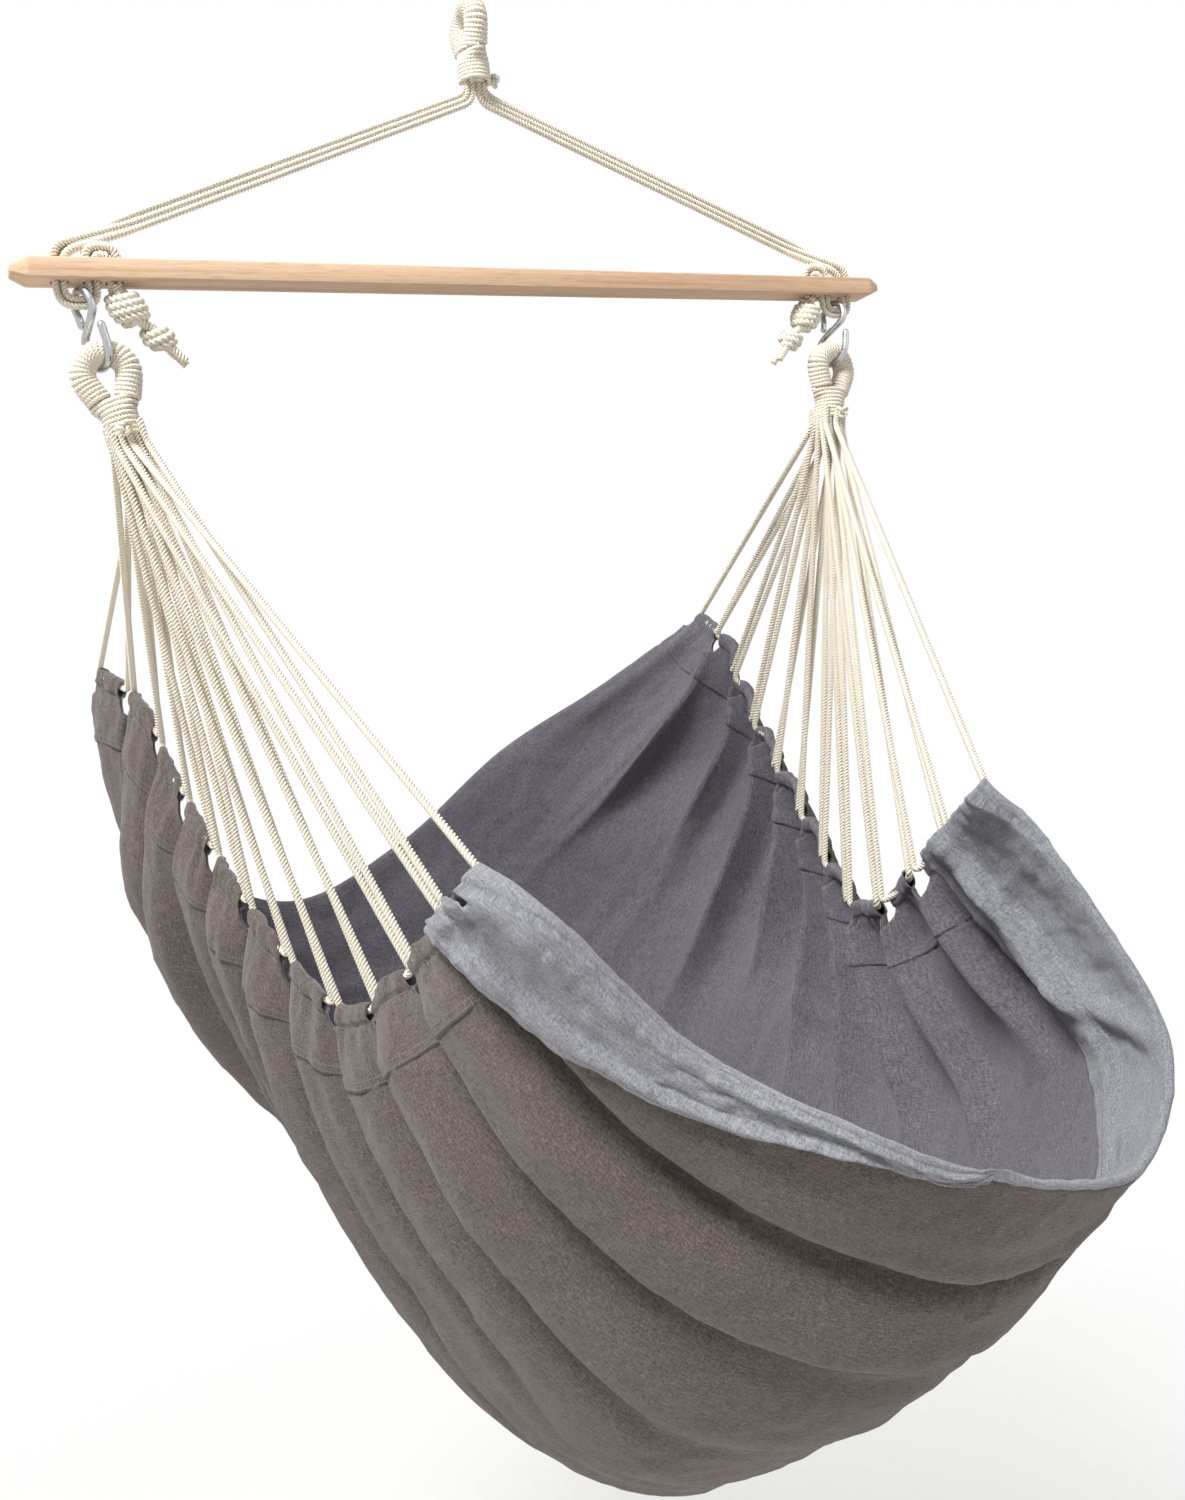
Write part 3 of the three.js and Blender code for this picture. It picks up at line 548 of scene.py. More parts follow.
def catmull(points, t):
    """A centripetal Catmull-Rom curve through the points, with t from 0 to 1."""
    n = len(points)
    place = (n - 1) * t
    i = min(max(int(place), 0), n - 2)
    w = place - i
    b, c = points[i], points[i + 1]
    a = points[i - 1] if i > 0 else tuple(2 * x - y for x, y in zip(b, c))
    d = points[i + 2] if i + 2 < n else tuple(2 * y - x for x, y in zip(b, c))
    gaps = [max(math.dist(p, q) ** 0.5, 1e-4) for p, q in ((a, b), (b, c), (c, d))]
    out = []
    for p0, p1, p2, p3 in zip(a, b, c, d):
        m1 = ((p1 - p0) / gaps[0] - (p2 - p0) / (gaps[0] + gaps[1]) + (p2 - p1) / gaps[1]) * gaps[1]
        m2 = ((p2 - p1) / gaps[1] - (p3 - p1) / (gaps[1] + gaps[2]) + (p3 - p2) / gaps[2]) * gaps[1]
        c2, c3 = -3 * p1 + 3 * p2 - 2 * m1 - m2, 2 * p1 - 2 * p2 + m1 + m2
        out.append(p1 + w * (m1 + w * (c2 + w * c3)))
    return tuple(out)


def spaced(points, step=None, count=None):
    """The same polyline with evenly spaced points."""
    p = np.array([tuple(q) for q in points], float)
    along = np.concatenate([[0], np.cumsum(np.linalg.norm(np.diff(p, axis=0), axis=1))])
    n = count or max(int(round(along[-1] / step)) + 1, 2)
    want = np.linspace(0, along[-1], n)
    return np.stack([np.interp(want, along, p[:, k]) for k in range(3)], 1), along[-1]


def through(points, parts):
    """A smooth polyline through the points."""
    n = len(points) - 1
    return [catmull([tuple(p) for p in points], i / (n * parts)) for i in range(n * parts + 1)]


def rounded(points, bend):
    """A polyline whose sharp corners are short arcs."""
    route = [Vector(points[0])]
    for before, corner, after in zip(points, points[1:], points[2:]):
        corner = Vector(corner)
        back, on = Vector(before) - corner, Vector(after) - corner
        reach = min(bend, back.length / 2.1, on.length / 2.1)
        start, end = corner + back.normalized() * reach, corner + on.normalized() * reach
        for i in range(CORNER_STEPS + 1):
            t = i / CORNER_STEPS
            route.append(start.lerp(corner, t).lerp(corner.lerp(end, t), t))
    route.append(Vector(points[-1]))
    return route


# Twisted cords


def crown_height(angle):
    """How high a cord's outline stands at an angle round it: 1 on a strand, 0 in a groove. The rope's painted
    groove shade uses it too.
    """
    return np.abs(np.cos(STRANDS * angle / 2)) ** 0.75


def strand_profile(depth):
    """The outline of a cord's cross-section with a lobe for each strand, with a radius of 1."""
    angle = TURN * np.arange(RINGS_PER_LAY) / RINGS_PER_LAY
    radius = 1 - depth * (1 - crown_height(angle))
    data, line = polyline("profile", np.stack([radius * np.cos(angle), radius * np.sin(angle), 0 * angle], 1))
    line.use_cyclic_u = True
    return link("profile", data)


def cord(
    name, routes, thickness, body="frame", replaces=(),
    lay=CORD_LAY, step=None, depth=0.42, radii=None, turned=0,
):
    """One mesh of twisted cords, each swept along its route; radii scales the cord along a route."""
    profile = strand_profile(depth)
    shape = bmesh.new()
    lay_of, groove_shade_of = [], []
    for r, route in enumerate(routes):
        points, length = spaced(route, step or lay / RINGS_PER_LAY)
        n = len(points)
        along = np.linspace(0, length, n)
        data, line = polyline(name, np.array([tuple(to_frame(p)) for p in points]))
        data.twist_mode = "MINIMUM"
        data.bevel_mode = "OBJECT"
        data.bevel_object = profile
        data.use_fill_caps = False
        line.points.foreach_set("tilt", turned + TURN * along / lay)
        scale = np.ones(n) if radii is None else radii(along / length)
        line.points.foreach_set("radius", scale * thickness / 2000)
        swept = worked_out(link(name + "_route", data))
        sides = len(swept.vertices) // n
        shape.from_mesh(swept)
        bpy.data.meshes.remove(swept)
        angle = np.tile(TURN * np.arange(sides) / sides, n)
        away = np.repeat(along, sides) + 37 * r
        lay_of.append(np.stack([1.2 * np.cos(angle), 1.2 * np.sin(angle), away], 1))
        groove_shade_of.append(crown_height(angle))
    bpy.data.objects.remove(profile)
    bmesh.ops.holes_fill(shape, edges=[e for e in shape.edges if e.is_boundary], sides=0)
    bmesh.ops.recalc_face_normals(shape, faces=shape.faces)
    mesh = mesh_of(name, shape)
    lays = mesh.attributes.new("lay", "FLOAT_VECTOR", "POINT")
    lays.data.foreach_set("vector", np.concatenate(lay_of).ravel().astype(np.float32))
    # The groove attribute masks the rope's painted shade between the strands.
    groove_shade_layer = mesh.attributes.new("groove", "FLOAT", "POINT")
    groove_shade_layer.data.foreach_set("value", np.concatenate(groove_shade_of).astype(np.float32))
    mesh.shade_smooth()
    mesh.materials.append(ROPE)
    return settle(link(name, mesh), body, replaces)


# Spreader bar


def spreader_bar():
    shape = bmesh.new()
    bmesh.ops.create_cube(shape, size=1)
    straight = BAR["length"] - 2 * BAR["end_taper"]
    bmesh.ops.scale(shape, vec=(straight, BAR["depth"], BAR["height"]), verts=shape.verts)
    for end in (-1, 1):
        face = next(f for f in shape.faces if f.normal.x * end > 0.9)
        moved = bmesh.ops.extrude_discrete_faces(shape, faces=[face])["faces"][0]
        bmesh.ops.translate(shape, vec=(end * BAR["end_taper"], 0, 0), verts=moved.verts)
        inset = 2 * BAR["end_inset"]
        grow = (1, 1 - inset / BAR["depth"], 1 - inset / BAR["height"])
        bmesh.ops.scale(shape, vec=grow, verts=moved.verts)
    bmesh.ops.recalc_face_normals(shape, faces=shape.faces)
    sharp = [e for e in shape.edges if e.calc_face_angle(0) > 0.3]
    bevel = {"offset": BAR["edge"], "segments": 3, "profile": 0.5, "affect": "EDGES", "material": -1}
    bmesh.ops.bevel(shape, geom=sharp, clamp_overlap=True, **bevel)
    bar = link("wooden_bar", mesh_of("bar", shape))
    drills = bmesh.new()
    bore = {"radius1": HOLE_DIAMETER / 2, "radius2": HOLE_DIAMETER / 2, "depth": 2 * BAR["height"]}
    for x in [side * hole for side in (-1, 1) for hole in HOLES]:
        made = bmesh.ops.create_cone(drills, cap_ends=True, segments=40, **bore)
        bmesh.ops.translate(drills, vec=(x, 0, 0), verts=made["verts"])
    drill = link("drills", mesh_of("drills", drills))
    cut = bar.modifiers.new("holes", "BOOLEAN")
    cut.object, cut.operation, cut.solver = drill, "DIFFERENCE", "EXACT"
    soften = bar.modifiers.new("hole_edges", "BEVEL")
    soften.width, soften.segments = 0.9, 2
    soften.limit_method, soften.angle_limit = "ANGLE", math.radians(50)
    done = worked_out(bar)
    bpy.data.objects.remove(drill)
    done.transform(Matrix.Translation(to_frame((0, 0, 0))) @ Matrix.Diagonal((0.001, 0.001, 0.001, 1)))
    done.materials.append(WOOD)
    done.shade_smooth()
    done.set_sharp_from_angle(angle=math.radians(35))
    return settle(link("wooden_bar", done), "frame", ["spreader_bar"])


# Suspension rope


def offset_route(route, distance):
    """Moves a flat route sideways in its own plane, keeping its corners mitred."""
    out = []
    for i, point in enumerate(route):
        normals = []
        for a, b in ((i - 1, i), (i, i + 1)):
            if 0 <= a and b < len(route):
                run = Vector((route[b][0] - route[a][0], route[b][1] - route[a][1])).normalized()
                normals.append(Vector((run.y, -run.x)))
        unit = sum(normals, Vector((0, 0))).normalized()
        stretch = distance[i] / max(unit.dot(normals[0]), 0.3)
        out.append((point[0] + unit.x * stretch, point[1] + unit.y * stretch))
    return out


def fullness(run):
    """Scales a cord along its run: swollen where it lies loose over the bar, pressed in the hook's ring."""
    heights = [p[2] for p in spaced(run, step=2)[0]]
    places = np.linspace(0, 1, len(heights))

    def radii(share):
        z = np.interp(share, places, heights)
        return np.interp(z, *FULLNESS)

    return radii


def suspension_cords(side, word):
    """Three cords that lie side by side in the leg and close up to a bundle in the holes."""
    leg, back, knot = HOLES
    over, under = BAR["height"] / 2 + OVER_BAR, -BAR["height"] / 2 - 2
    neck = -BAR_Z + EYE_SEAT - NECK_END
    corner = (leg - LEG_CORNER["before_hole"], LEG_CORNER["height"])
    in_leg = [(LEG_START, neck + 12), (LEG_START, LEG_RISE), corner]
    in_holes = [(leg, LEG_REST), (leg, BIGHT_Z), (back, BIGHT_Z), (back, over), (knot, over), (knot, under)]
    swell = (LOOSE, 1, 1, LOOSE, LOOSE, 1)
    for index in range(3):
        angle = TURN * (0.25 + index / 3)
        lift, sideways = BUNDLE_RADIUS * math.cos(angle), BUNDLE_RADIUS * math.sin(angle)
        flat = LEG_SPREAD * (index - 1)
        points = offset_route(in_leg + in_holes, [lift, flat * 0.8, flat, *[lift * w for w in swell]])
        ys = [sideways, 2, 2, *[sideways * w for w in swell]]
        run = rounded([(side * x, y, z) for (x, z), y in zip(points, ys)], ROPE_BEND)
        name = f"{word}_suspension_cord_{index + 1}"
        cord(name + "_twisted", [run], ROPE_CORD, replaces=[name], turned=1.3 * index, radii=fullness(run))


def wound_knot(side, name, node, centre, axis, knot, phase):
    """A barrel of turns round a filling, with its ends tucked in."""
    deep = Vector((0, 1, 0))
    beside = deep.cross(axis).normalized()
    line, steps = [], int(knot["turns"] * 48)
    for i in range(steps + 1):
        share = i / steps
        angle = TURN * knot["turns"] * share + phase
        reach = knot["ends"] + (knot["middle"] - knot["ends"]) * math.sin(math.pi * share) ** 0.6
        height = knot["length"] * (share - 0.5) + knot["slant"] * reach * math.cos(angle + 0.9)
        p = centre + axis * height + beside * reach * math.cos(angle) + deep * reach * math.sin(angle)
        line.append(mirrored(side, p))
    half = axis * (knot["length"] / 2 + 2)
    filling = [mirrored(side, p) for p in (centre - half, centre, centre + half)]
    cord(name, [line], knot["cord"], replaces=[node], lay=KNOT_LAY)
    cord(name + "_filling", [filling], 2 * knot["ends"] + 1, lay=FILLING_LAY, step=3, depth=0.25)


def rope_tail(side, word):
    """The rope's end below the third hole: a fat wound knot, a small tied knot and a cut tail."""
    top = Vector((HOLES[2], 0, -BAR["height"] / 2 - 2.3))
    turn = top - Vector((0, 0, TAIL["straight"]))
    end = turn - Vector((TAIL["inward"], 0, TAIL["drop"]))
    down = (end - turn).normalized()
    beside = Vector((1, 0, 0.9)).normalized()
    routes = []
    for i in range(3):
        angle = TURN * i / 3 + 0.4
        out = TAIL["bundle"] * (beside * math.cos(angle) + Vector((0, math.sin(angle), 0)))
        tip = end + out * TAIL["flare"] + down * (7 + 1.6 * (i - 1))
        line = [top + out, turn + out, turn.lerp(end, 0.7) + out, tip]
        routes.append([mirrored(side, p) for p in rounded(line, TAIL["bend"])])
    cord(word + "_tail", routes, TAIL["cord"], replaces=[word + "_rope_end"])
    stopper, small = word + "_stopper_knot", word + "_end_knot"
    leaning = Vector((-0.5, 0, -1)).normalized()
    below_hole = turn.lerp(end, 0.2) + Vector((1.5, 0, 2))
    wound_knot(side, stopper + "_wound", stopper, below_hole, leaning, STOPPER_KNOT, 0.6)
    wound_knot(side, small + "_wound", small, turn.lerp(end, 0.68), down, END_KNOT, 2.0)


# Whipped eyes


def eye_line():
    """The teardrop's centre line, from one leg over the top to the other, in its own XZ plane."""
    half, low = EYE["half_width"], -EYE["half_width"] - EYE["leg_drop"]
    points = [(-EYE["leg_gap"], 0, low), *arc(-half, half, 1, 0, 9), (EYE["leg_gap"], 0, low)]
    return spaced(through(points, 16), count=161)


def eye_core(prefix, body, place, points, neck_top):
    """The gathered cords: up through the neck, round the teardrop and down again."""
    inside = NECK["radius"] - EYE["core"] / 2
    low_end = neck_top - NECK["length"] + 3
    up = [(-inside * 0.7, 0, low_end), (-inside, 0, neck_top - 3)]
    down = [(-x, y, z) for x, y, z in reversed(up)]
    line = [place(p) for p in through([*up, *points[::20], *down], 6)]
    cord(prefix + "_core_cords", [line], EYE["core"], body, [prefix + "_core"], lay=60, step=3, depth=0.16)


def eye_whipping(prefix, body, place, points, length):
    """The cord wound round the teardrop, spread on the outside of the bend and crowded on its inside."""
    turns, per_turn = round(length / WHIP_PITCH), 26
    tangents = np.gradient(points, axis=0)
    tangents /= np.linalg.norm(tangents, axis=1)[:, None]
    reach = (EYE["core"] + WHIP_CORD) / 2 - 0.3
    line, scales = [], []
    for i in range(turns * per_turn + 1):
        share = i / (turns * per_turn)
        at = share * (len(points) - 1)
        j = min(int(at), len(points) - 2)
        p = points[j] + (points[j + 1] - points[j]) * (at - j)
        out = np.array([-tangents[j][2], 0, tangents[j][0]])
        angle = TURN * i / per_turn
        on_arc = 0.3 + 0.7 * smooth(0.1, 0.3, share) * (1 - smooth(0.7, 0.9, share))
        facing = math.cos(angle)
        scales.append(1.08 + on_arc * (0.34 * max(0, facing) - 0.26 * max(0, -facing)))
        off = reach - WHIP_CORD / 2 * (scales[-1] - 1)
        line.append(place(p + (out * facing + np.array([0, 1, 0]) * math.sin(angle)) * off))
    places = np.linspace(0, 1, len(scales))
    name, replaced = prefix + "_wound_cord", [prefix + "_whipping"]
    radii = lambda share: np.interp(share, places, scales)
    cord(name, [line], WHIP_CORD, body, replaced, **FINE_TWIST, radii=radii)


def neck_whipping(prefix, body, place, start, neck_top):
    """Turns that start wide round both legs and close up round the neck."""
    turns = (NECK["length"] + NECK["top_drop"] - WHIP_CORD) / WHIP_PITCH
    steps = int(turns * 40)
    travel = start - (neck_top - NECK["length"] + WHIP_CORD / 2)
    flat = (EYE["core"] + WHIP_CORD) / 2
    line = []
    for i in range(steps + 1):
        share = i / steps
        closed = smooth(0, 0.42, share)
        angle = TURN * turns * share + 0.8
        wide = NECK["radius"] + WHIP_CORD / 2 + 7.5 * (1 - closed)
        deep = flat + (NECK["radius"] - EYE["core"] / 2) * closed
        slant = 0.2 * wide * math.sin(angle + 2.4) * (1 - share)
        line.append(place((wide * math.cos(angle), deep * math.sin(angle), start - travel * share + slant)))
    name, replaced = prefix + "_neck_wound_cord", [prefix + "_neck_whipping"]
    cord(name, [line], WHIP_CORD * 1.08, body, replaced, **FINE_TWIST)


def tied_knot(prefix, body, place, neck_top):
    """A trefoil in the whipping's end, on the front of the neck."""
    centre = Vector((0, -NECK["radius"] - 9.5, neck_top - NECK["length"] + 7))
    line = []
    for i in range(97):
        t = TURN * i / 96
        x, z = math.sin(t) + 2 * math.sin(2 * t), math.cos(t) - 2 * math.cos(2 * t)
        line.append(place(centre + Vector((x * 2.2, math.sin(3 * t) * 3.0, z * 2.0))))
    cord(prefix + "_tied_knot", [line], 4.8, body, [prefix + "_knot"], lay=10, step=0.9)


def whipped_eye(prefix, body, place):
    """place turns a point of the eye's own frame into the bar's frame."""
    points, length = eye_line()
    low = points[0][2]
    neck_top = low - NECK["top_drop"]
    eye_core(prefix, body, place, points, neck_top)
    eye_whipping(prefix, body, place, points, length)
    neck_whipping(prefix, body, place, low - 1.5, neck_top)
    tied_knot(prefix, body, place, neck_top)


def turned_about_z(p, angle):
    c, s = math.cos(angle), math.sin(angle)
    return Vector((p[0] * c - p[1] * s, p[0] * s + p[1] * c, p[2]))


def hung(side, p, turn=0.0, height=0.0):
    """A point of the leaning frame that hangs from the rope's bight, in the bar's frame."""
    q = turned_about_z(p, turn) + Vector((0, 0, height))
    c, s = math.cos(LEAN), math.sin(LEAN)
    if side < 0:
        s = -s
    return Vector((side * HOOK_X + q.x * c + q.z * s, q.y, BIGHT_Z - q.x * s + q.z * c))


def hook(side, word):
    """Bent wire: the tip, the open bend, the ring and its end beside the shank."""
    ring, bend = RING_TOP - RING_RADIUS, BEND_BOTTOM + BEND_RADIUS
    points = [(BEND_RADIUS, 0, bend + TIP_RISE), (BEND_RADIUS, 0, bend + TIP_RISE * 0.5)]
    points += arc(bend, BEND_RADIUS, 0, -1.25, 11)
    points += arc(ring, RING_RADIUS, -0.15, 1.14, 10)
    points += [(-RING_RADIUS * x, 0, ring - RING_RADIUS * z) for x, z in ((0.9, 0.83), (0.83, 1.19))]
    fine, length = spaced(through(points, 12), step=1.2)
    data, line = polyline("wire", np.array([tuple(to_frame(hung(side, p, HOOK_TURN))) for p in fine]))
    data.bevel_depth, data.bevel_resolution, data.use_fill_caps = 0.001, 6, True
    along = np.linspace(0, length, len(fine))
    from_end = np.minimum(along, length - along) / (WIRE / 2)
    rounding = np.sqrt(np.clip(1 - (1 - np.clip(from_end + 0.12, 0, 1)) ** 2, 0.05, 1))
    line.points.foreach_set("radius", rounding * WIRE / 2)
    mesh = worked_out(link("wire", data))
    mesh.materials.clear()
    mesh.materials.append(STEEL)
    mesh.shade_smooth()
    return settle(link(word + "_wire_hook", mesh), word + "_hook", [word + "_hook"])


# Cloth surface


def unit(directions):
    return directions / np.linalg.norm(directions, axis=-1)[..., None]


class Surface:
    """The cloth's smooth middle from header to header, as a fine table of places, normals and lengths."""

    def __init__(self, rows, columns):
        header, _ = spaced([catmull(HEADER, i / 400) for i in range(401)], count=rows + 1)
        feet = list(zip(*SECTIONS))
        self.places = np.zeros((rows + 1, columns + 1, 3))
        self.lengths = np.zeros(rows + 1)
        for i, h in enumerate(header):
            line = [(-h[0], h[1], h[2]), *[catmull(column, i / rows) for column in feet], tuple(h)]
            self.places[i], self.lengths[i] = spaced(through(line, 20), count=columns + 1)
        self.along = np.gradient(self.places, axis=0)
        self.normals = unit(np.cross(np.gradient(self.places, axis=1), self.along))
        steps = np.linalg.norm(np.diff(self.places, axis=0), axis=2)
        self.widths = steps.sum(0)
        self.rows, self.columns = rows, columns
        self.header_length = self.widths[0]

    def table_at(self, table, v, share):
        i, j = np.clip(v, 0, 1) * self.rows, np.clip(share, 0, 1) * self.columns
        i0, j0 = np.minimum(i.astype(int), self.rows - 1), np.minimum(j.astype(int), self.columns - 1)
        a, b = (i - i0)[..., None], (j - j0)[..., None]
        near = table[i0, j0] * (1 - b) + table[i0, j0 + 1] * b
        far = table[i0 + 1, j0] * (1 - b) + table[i0 + 1, j0 + 1] * b
        return near * (1 - a) + far * a

    def length_at(self, v):
        return np.interp(v, np.linspace(0, 1, self.rows + 1), self.lengths)

    def width_at(self, share):
        return np.interp(share, np.linspace(0, 1, self.columns + 1), self.widths)


def crest(v):
    """Height of a panel between two notches: a valley at each notch, and a rolled front rim."""
    s = v * BIGHTS
    k = np.floor(np.clip(s, 0, BIGHTS - 1e-6))
    s = s - k
    round_panel = 1 - 2 * np.abs(2 * s - 1) ** 2.2
    rise, fall = smooth(0, 0.22, s), 1 - smooth(0.35, 1, s)
    leaning = -1 + 2 * rise * fall ** 0.6
    front = smooth(0.62, 0.78, v)
    last = k == BIGHTS - 1
    rim = -1 + 2 * rise - 0.5 * smooth(0.7, 1, s)
    first = np.where(k == 0, np.maximum(round_panel, 0.2 * (1 - s)), round_panel)
    return np.where(last, rim, first * (1 - front) + leaning * front)


def fold_depth(surface, v, share):
    """How far the panels stand out, in millimetres; each fold fades at a length of its own."""
    middle, right = np.minimum(share, 1 - share), share > 0.5
    depth = middle * surface.length_at(v)
    near = 5 + 4 * right + (8 + 5 * right) * smooth(0, BAND_HEIGHT, depth)
    near = near + 6 * smooth(BAND_HEIGHT, 220, depth)
    front = smooth(0.66, 0.85, v) * (1 - smooth(0.42, 0.62, share))
    least = 2 + 8 * front
    uneven = 0.9 + 0.28 * np.sin(v * 41 + 1.3) * np.sin(v * 17 + 4 * share)
    fade_end = 0.42 - 0.15 * right + 0.06 * np.sin(v * 29 + 6 * right)
    fade = smooth(0.16 - 0.06 * right, fade_end, middle)
    return (near + (least - near) * fade) * (1 + (uneven - 1) * smooth(20, 120, depth))


def noise_on(a, b, seed):
    """Smooth noise at every pair of the two arrays' values."""
    values = [noise.noise(Vector((x, y, seed))) for x, y in zip(a.ravel(), b.ravel())]
    return np.array(values).reshape(a.shape)


def wrinkle(surface, v, share):
    """Small creases: puckers near the headers, long pulls down the cloth and a soft crumple."""
    depth = np.minimum(share, 1 - share) * surface.length_at(v)
    gather = noise_on(v * 150, depth / 60, 4.0) * 3.4 * np.exp(-depth / 55)
    gather += noise_on(v * 95, depth / 120, 44.0) * 3.0 * np.exp(-depth / 150)
    pull = noise_on(v * 46, share * 3.2, 13.0) * 3.6
    slack = noise_on(v * 16 + share * 2, share * 11 - v * 4, 25.0) * 3.4
    crease = np.abs(noise_on(v * 30 + share * 16, share * 26 - v * 22, 37.0))
    return gather + pull + slack + 1.6 * (0.5 - np.minimum(crease * 4, 1))


def valleys(across, along, table):
    """Creases with soft sides, as (place, place, depth, half width); a depth below zero makes a ridge."""
    total = np.zeros(np.broadcast(across, along).shape)
    for (x0, y0), (x1, y1), depth, wide in table:
        run = np.array((x1 - x0, y1 - y0))
        reach = (across - x0) * run[0] + (along - y0) * run[1]
        t = np.clip(reach / run.dot(run), 0, 1)
        apart = np.hypot(across - x0 - t * run[0], along - y0 - t * run[1])
        ends = np.sin(math.pi * (0.12 + 0.76 * t))
        total -= depth * ends * np.exp(-((apart / wide) ** 2))
    return total


def press_creases(count, seed):
    """Short straight creases left in the cloth by folding and packing."""
    random = np.random.default_rng(seed)
    table = []
    for _ in range(count):
        x, y = random.uniform(90, CLOTH_FLAT[0] - 90), random.uniform(30, CLOTH_FLAT[1] - 30)
        angle, reach = random.uniform(0, TURN), random.uniform(25, 75)
        dx, dy = reach * math.cos(angle), reach * math.sin(angle)
        depth, wide = random.uniform(-1.6, 2.2), random.uniform(7, 11)
        table.append(((x - dx, y - dy), (x + dx, y + dy), depth, wide))
    return table


def flat_place(v, share):
    return share * CLOTH_FLAT[0], v * CLOTH_FLAT[1]


def long_creases():
    table = press_creases(110, 5)
    for start, end, depth, wide in MAIN_CREASES:
        table.append((flat_place(*start), flat_place(*end), depth, wide))
    return table


def small_relief(surface, v, share):
    return wrinkle(surface, v, share) + valleys(*flat_place(v, share), CREASES)


def on_cloth(surface, v, share, off=0.0, wrinkles=True):
    """Places on the folded cloth; off is measured outward from its middle."""
    v, share = np.broadcast_arrays(np.asarray(v, float), np.asarray(share, float))
    base = surface.table_at(surface.places, v, share)
    normal = surface.table_at(surface.normals, v, share)
    height = fold_depth(surface, v, share) * crest(v)
    if wrinkles:
        height = height + small_relief(surface, v, share)
    return base + normal * (height + off)[..., None]


# Header bands, seat cloth and stitching


def notch_half(depth):
    inside = np.clip(1 - (np.clip(depth, 0, NOTCH_DEPTH) / NOTCH_DEPTH) ** 3.0, 0, 1)
    return NOTCH_SHARE * np.sqrt(inside)


def grid_into(shape, places, uv, material_of_row):
    """Adds a grid of cloth whose vertices lie at the places."""
    rows, columns = places.shape[:2]
    layer = shape.loops.layers.uv.get("UVMap") or shape.loops.layers.uv.new("UVMap")
    made = bmesh.ops.create_grid(shape, x_segments=columns - 1, y_segments=rows - 1, size=1)["verts"]
    made.sort(key=lambda vert: round(vert.co.y * 1e5) * 10 + vert.co.x)
    number = {vert: i for i, vert in enumerate(made)}
    flat_uv, flat_places = uv.reshape(-1, 2), places.reshape(-1, 3)
    for face in {face for vert in made for face in vert.link_faces}:
        face.material_index = material_of_row(min(number[vert] for vert in face.verts) // columns)
        for loop in face.loops:
            loop[layer].uv = flat_uv[number[loop.vert]]
    for vert, i in number.items():
        vert.co = to_frame(flat_places[i])


def cloth_piece(name, shape, thickness, replaces, two_faced=False):
    """Gives the sheet its thickness; a two-faced sheet has the inside's copy of the cloth, painted lighter as
    lit, on its other face.
    """
    mesh = mesh_of(name, shape)
    # Copies of one cloth with painted light: 0 the outside in painted shade, 1 the inside painted lit, 2 the
    # margin painted lightest.
    for finish in (OUTSIDE_SHADED, INSIDE_LIT, MARGIN_LIT):
        mesh.materials.append(finish)
    flat = link(name + "_flat", mesh)
    wall = flat.modifiers.new("thickness", "SOLIDIFY")
    wall.thickness, wall.offset, wall.use_even_offset = thickness / 1000, 0, False
    if two_faced:
        wall.material_offset, wall.material_offset_rim = 1, 1
    done = worked_out(flat)
    done.shade_smooth()
    return settle(link(name, done), "seat", replaces)


def band_section():
    """Depths and offsets of a band's section, from the outer foot over the tunnel to the inner one."""
    low = np.linspace(BAND_HEIGHT, TUNNEL_FLOOR + 4, 17)
    high = np.linspace(TUNNEL_FLOOR, 2, 10)
    bulge = np.sqrt(np.clip(1 - (np.abs(high - TUNNEL_DEPTH) / (TUNNEL_FLOOR - TUNNEL_DEPTH)) ** 2, 0, 1))
    depths = np.concatenate([low, high, [0.7, 0, -0.3]])
    offs = np.concatenate([np.full(17, LAYER), LAYER + (TUNNEL_RADIUS - LAYER) * bulge, [3.6, 1.4, 0]])
    return np.concatenate([depths, depths[-2::-1]]), np.concatenate([offs, -offs[-2::-1]])


def from_header(surface, v, depth, side):
    """The share across the cloth at a depth below one header's top edge."""
    share = depth / surface.length_at(v)
    return share if side < 0 else 1 - share


def band_puckers(v, depth, side):
    near_seam = np.exp(-np.abs(depth - TUNNEL_FLOOR) / 20)
    fine = noise_on(v * 170, depth / 45, 51.0 + side) * 3.6 * near_seam
    return fine + noise_on(v * 90, depth / 50, 57.0 + side) * 2.4


def band_grid(surface, side, k):
    """One tab of a header band, with puckers that start at the tunnel and a wavy top with rounded corners."""
    depths, offs = band_section()
    depth, across = np.meshgrid(depths, np.linspace(-1, 1, 23), indexing="ij")
    off = np.repeat(offs[:, None], depth.shape[1], 1)
    v = (k + 0.5 + 0.5 * across * (1 - 2 * notch_half(depth))) / BIGHTS
    near_top = np.exp(-np.clip(depth, 0, None) / 22)
    wave = noise_on(v * 38, v * 0 + side, 61.0) * 4.5 + 4.2 * np.abs(across) ** 5
    share = from_header(surface, v, depth + wave * near_top, side)
    puckers = band_puckers(v, depth, side) * smooth(-1, 10, depth)
    places = on_cloth(surface, v, share, off + puckers)
    uv = np.stack([side * depth * np.sign(off + 1e-9) / 100, v * surface.header_length * 1.5 / 100], -1)
    return places, uv


def header_band(surface, side, word):
    shape = bmesh.new()
    for k in range(BIGHTS):
        places, uv = band_grid(surface, side, k)
        inner = places.shape[0] // 2
        # The outer half of each tab gets the cloth's painted shade and the inner half its painted light.
        grid_into(shape, places, uv, lambda row: 0 if row < inner else 1)
    return cloth_piece(word + "_header_band", shape, 0.9, [word + "_header"])


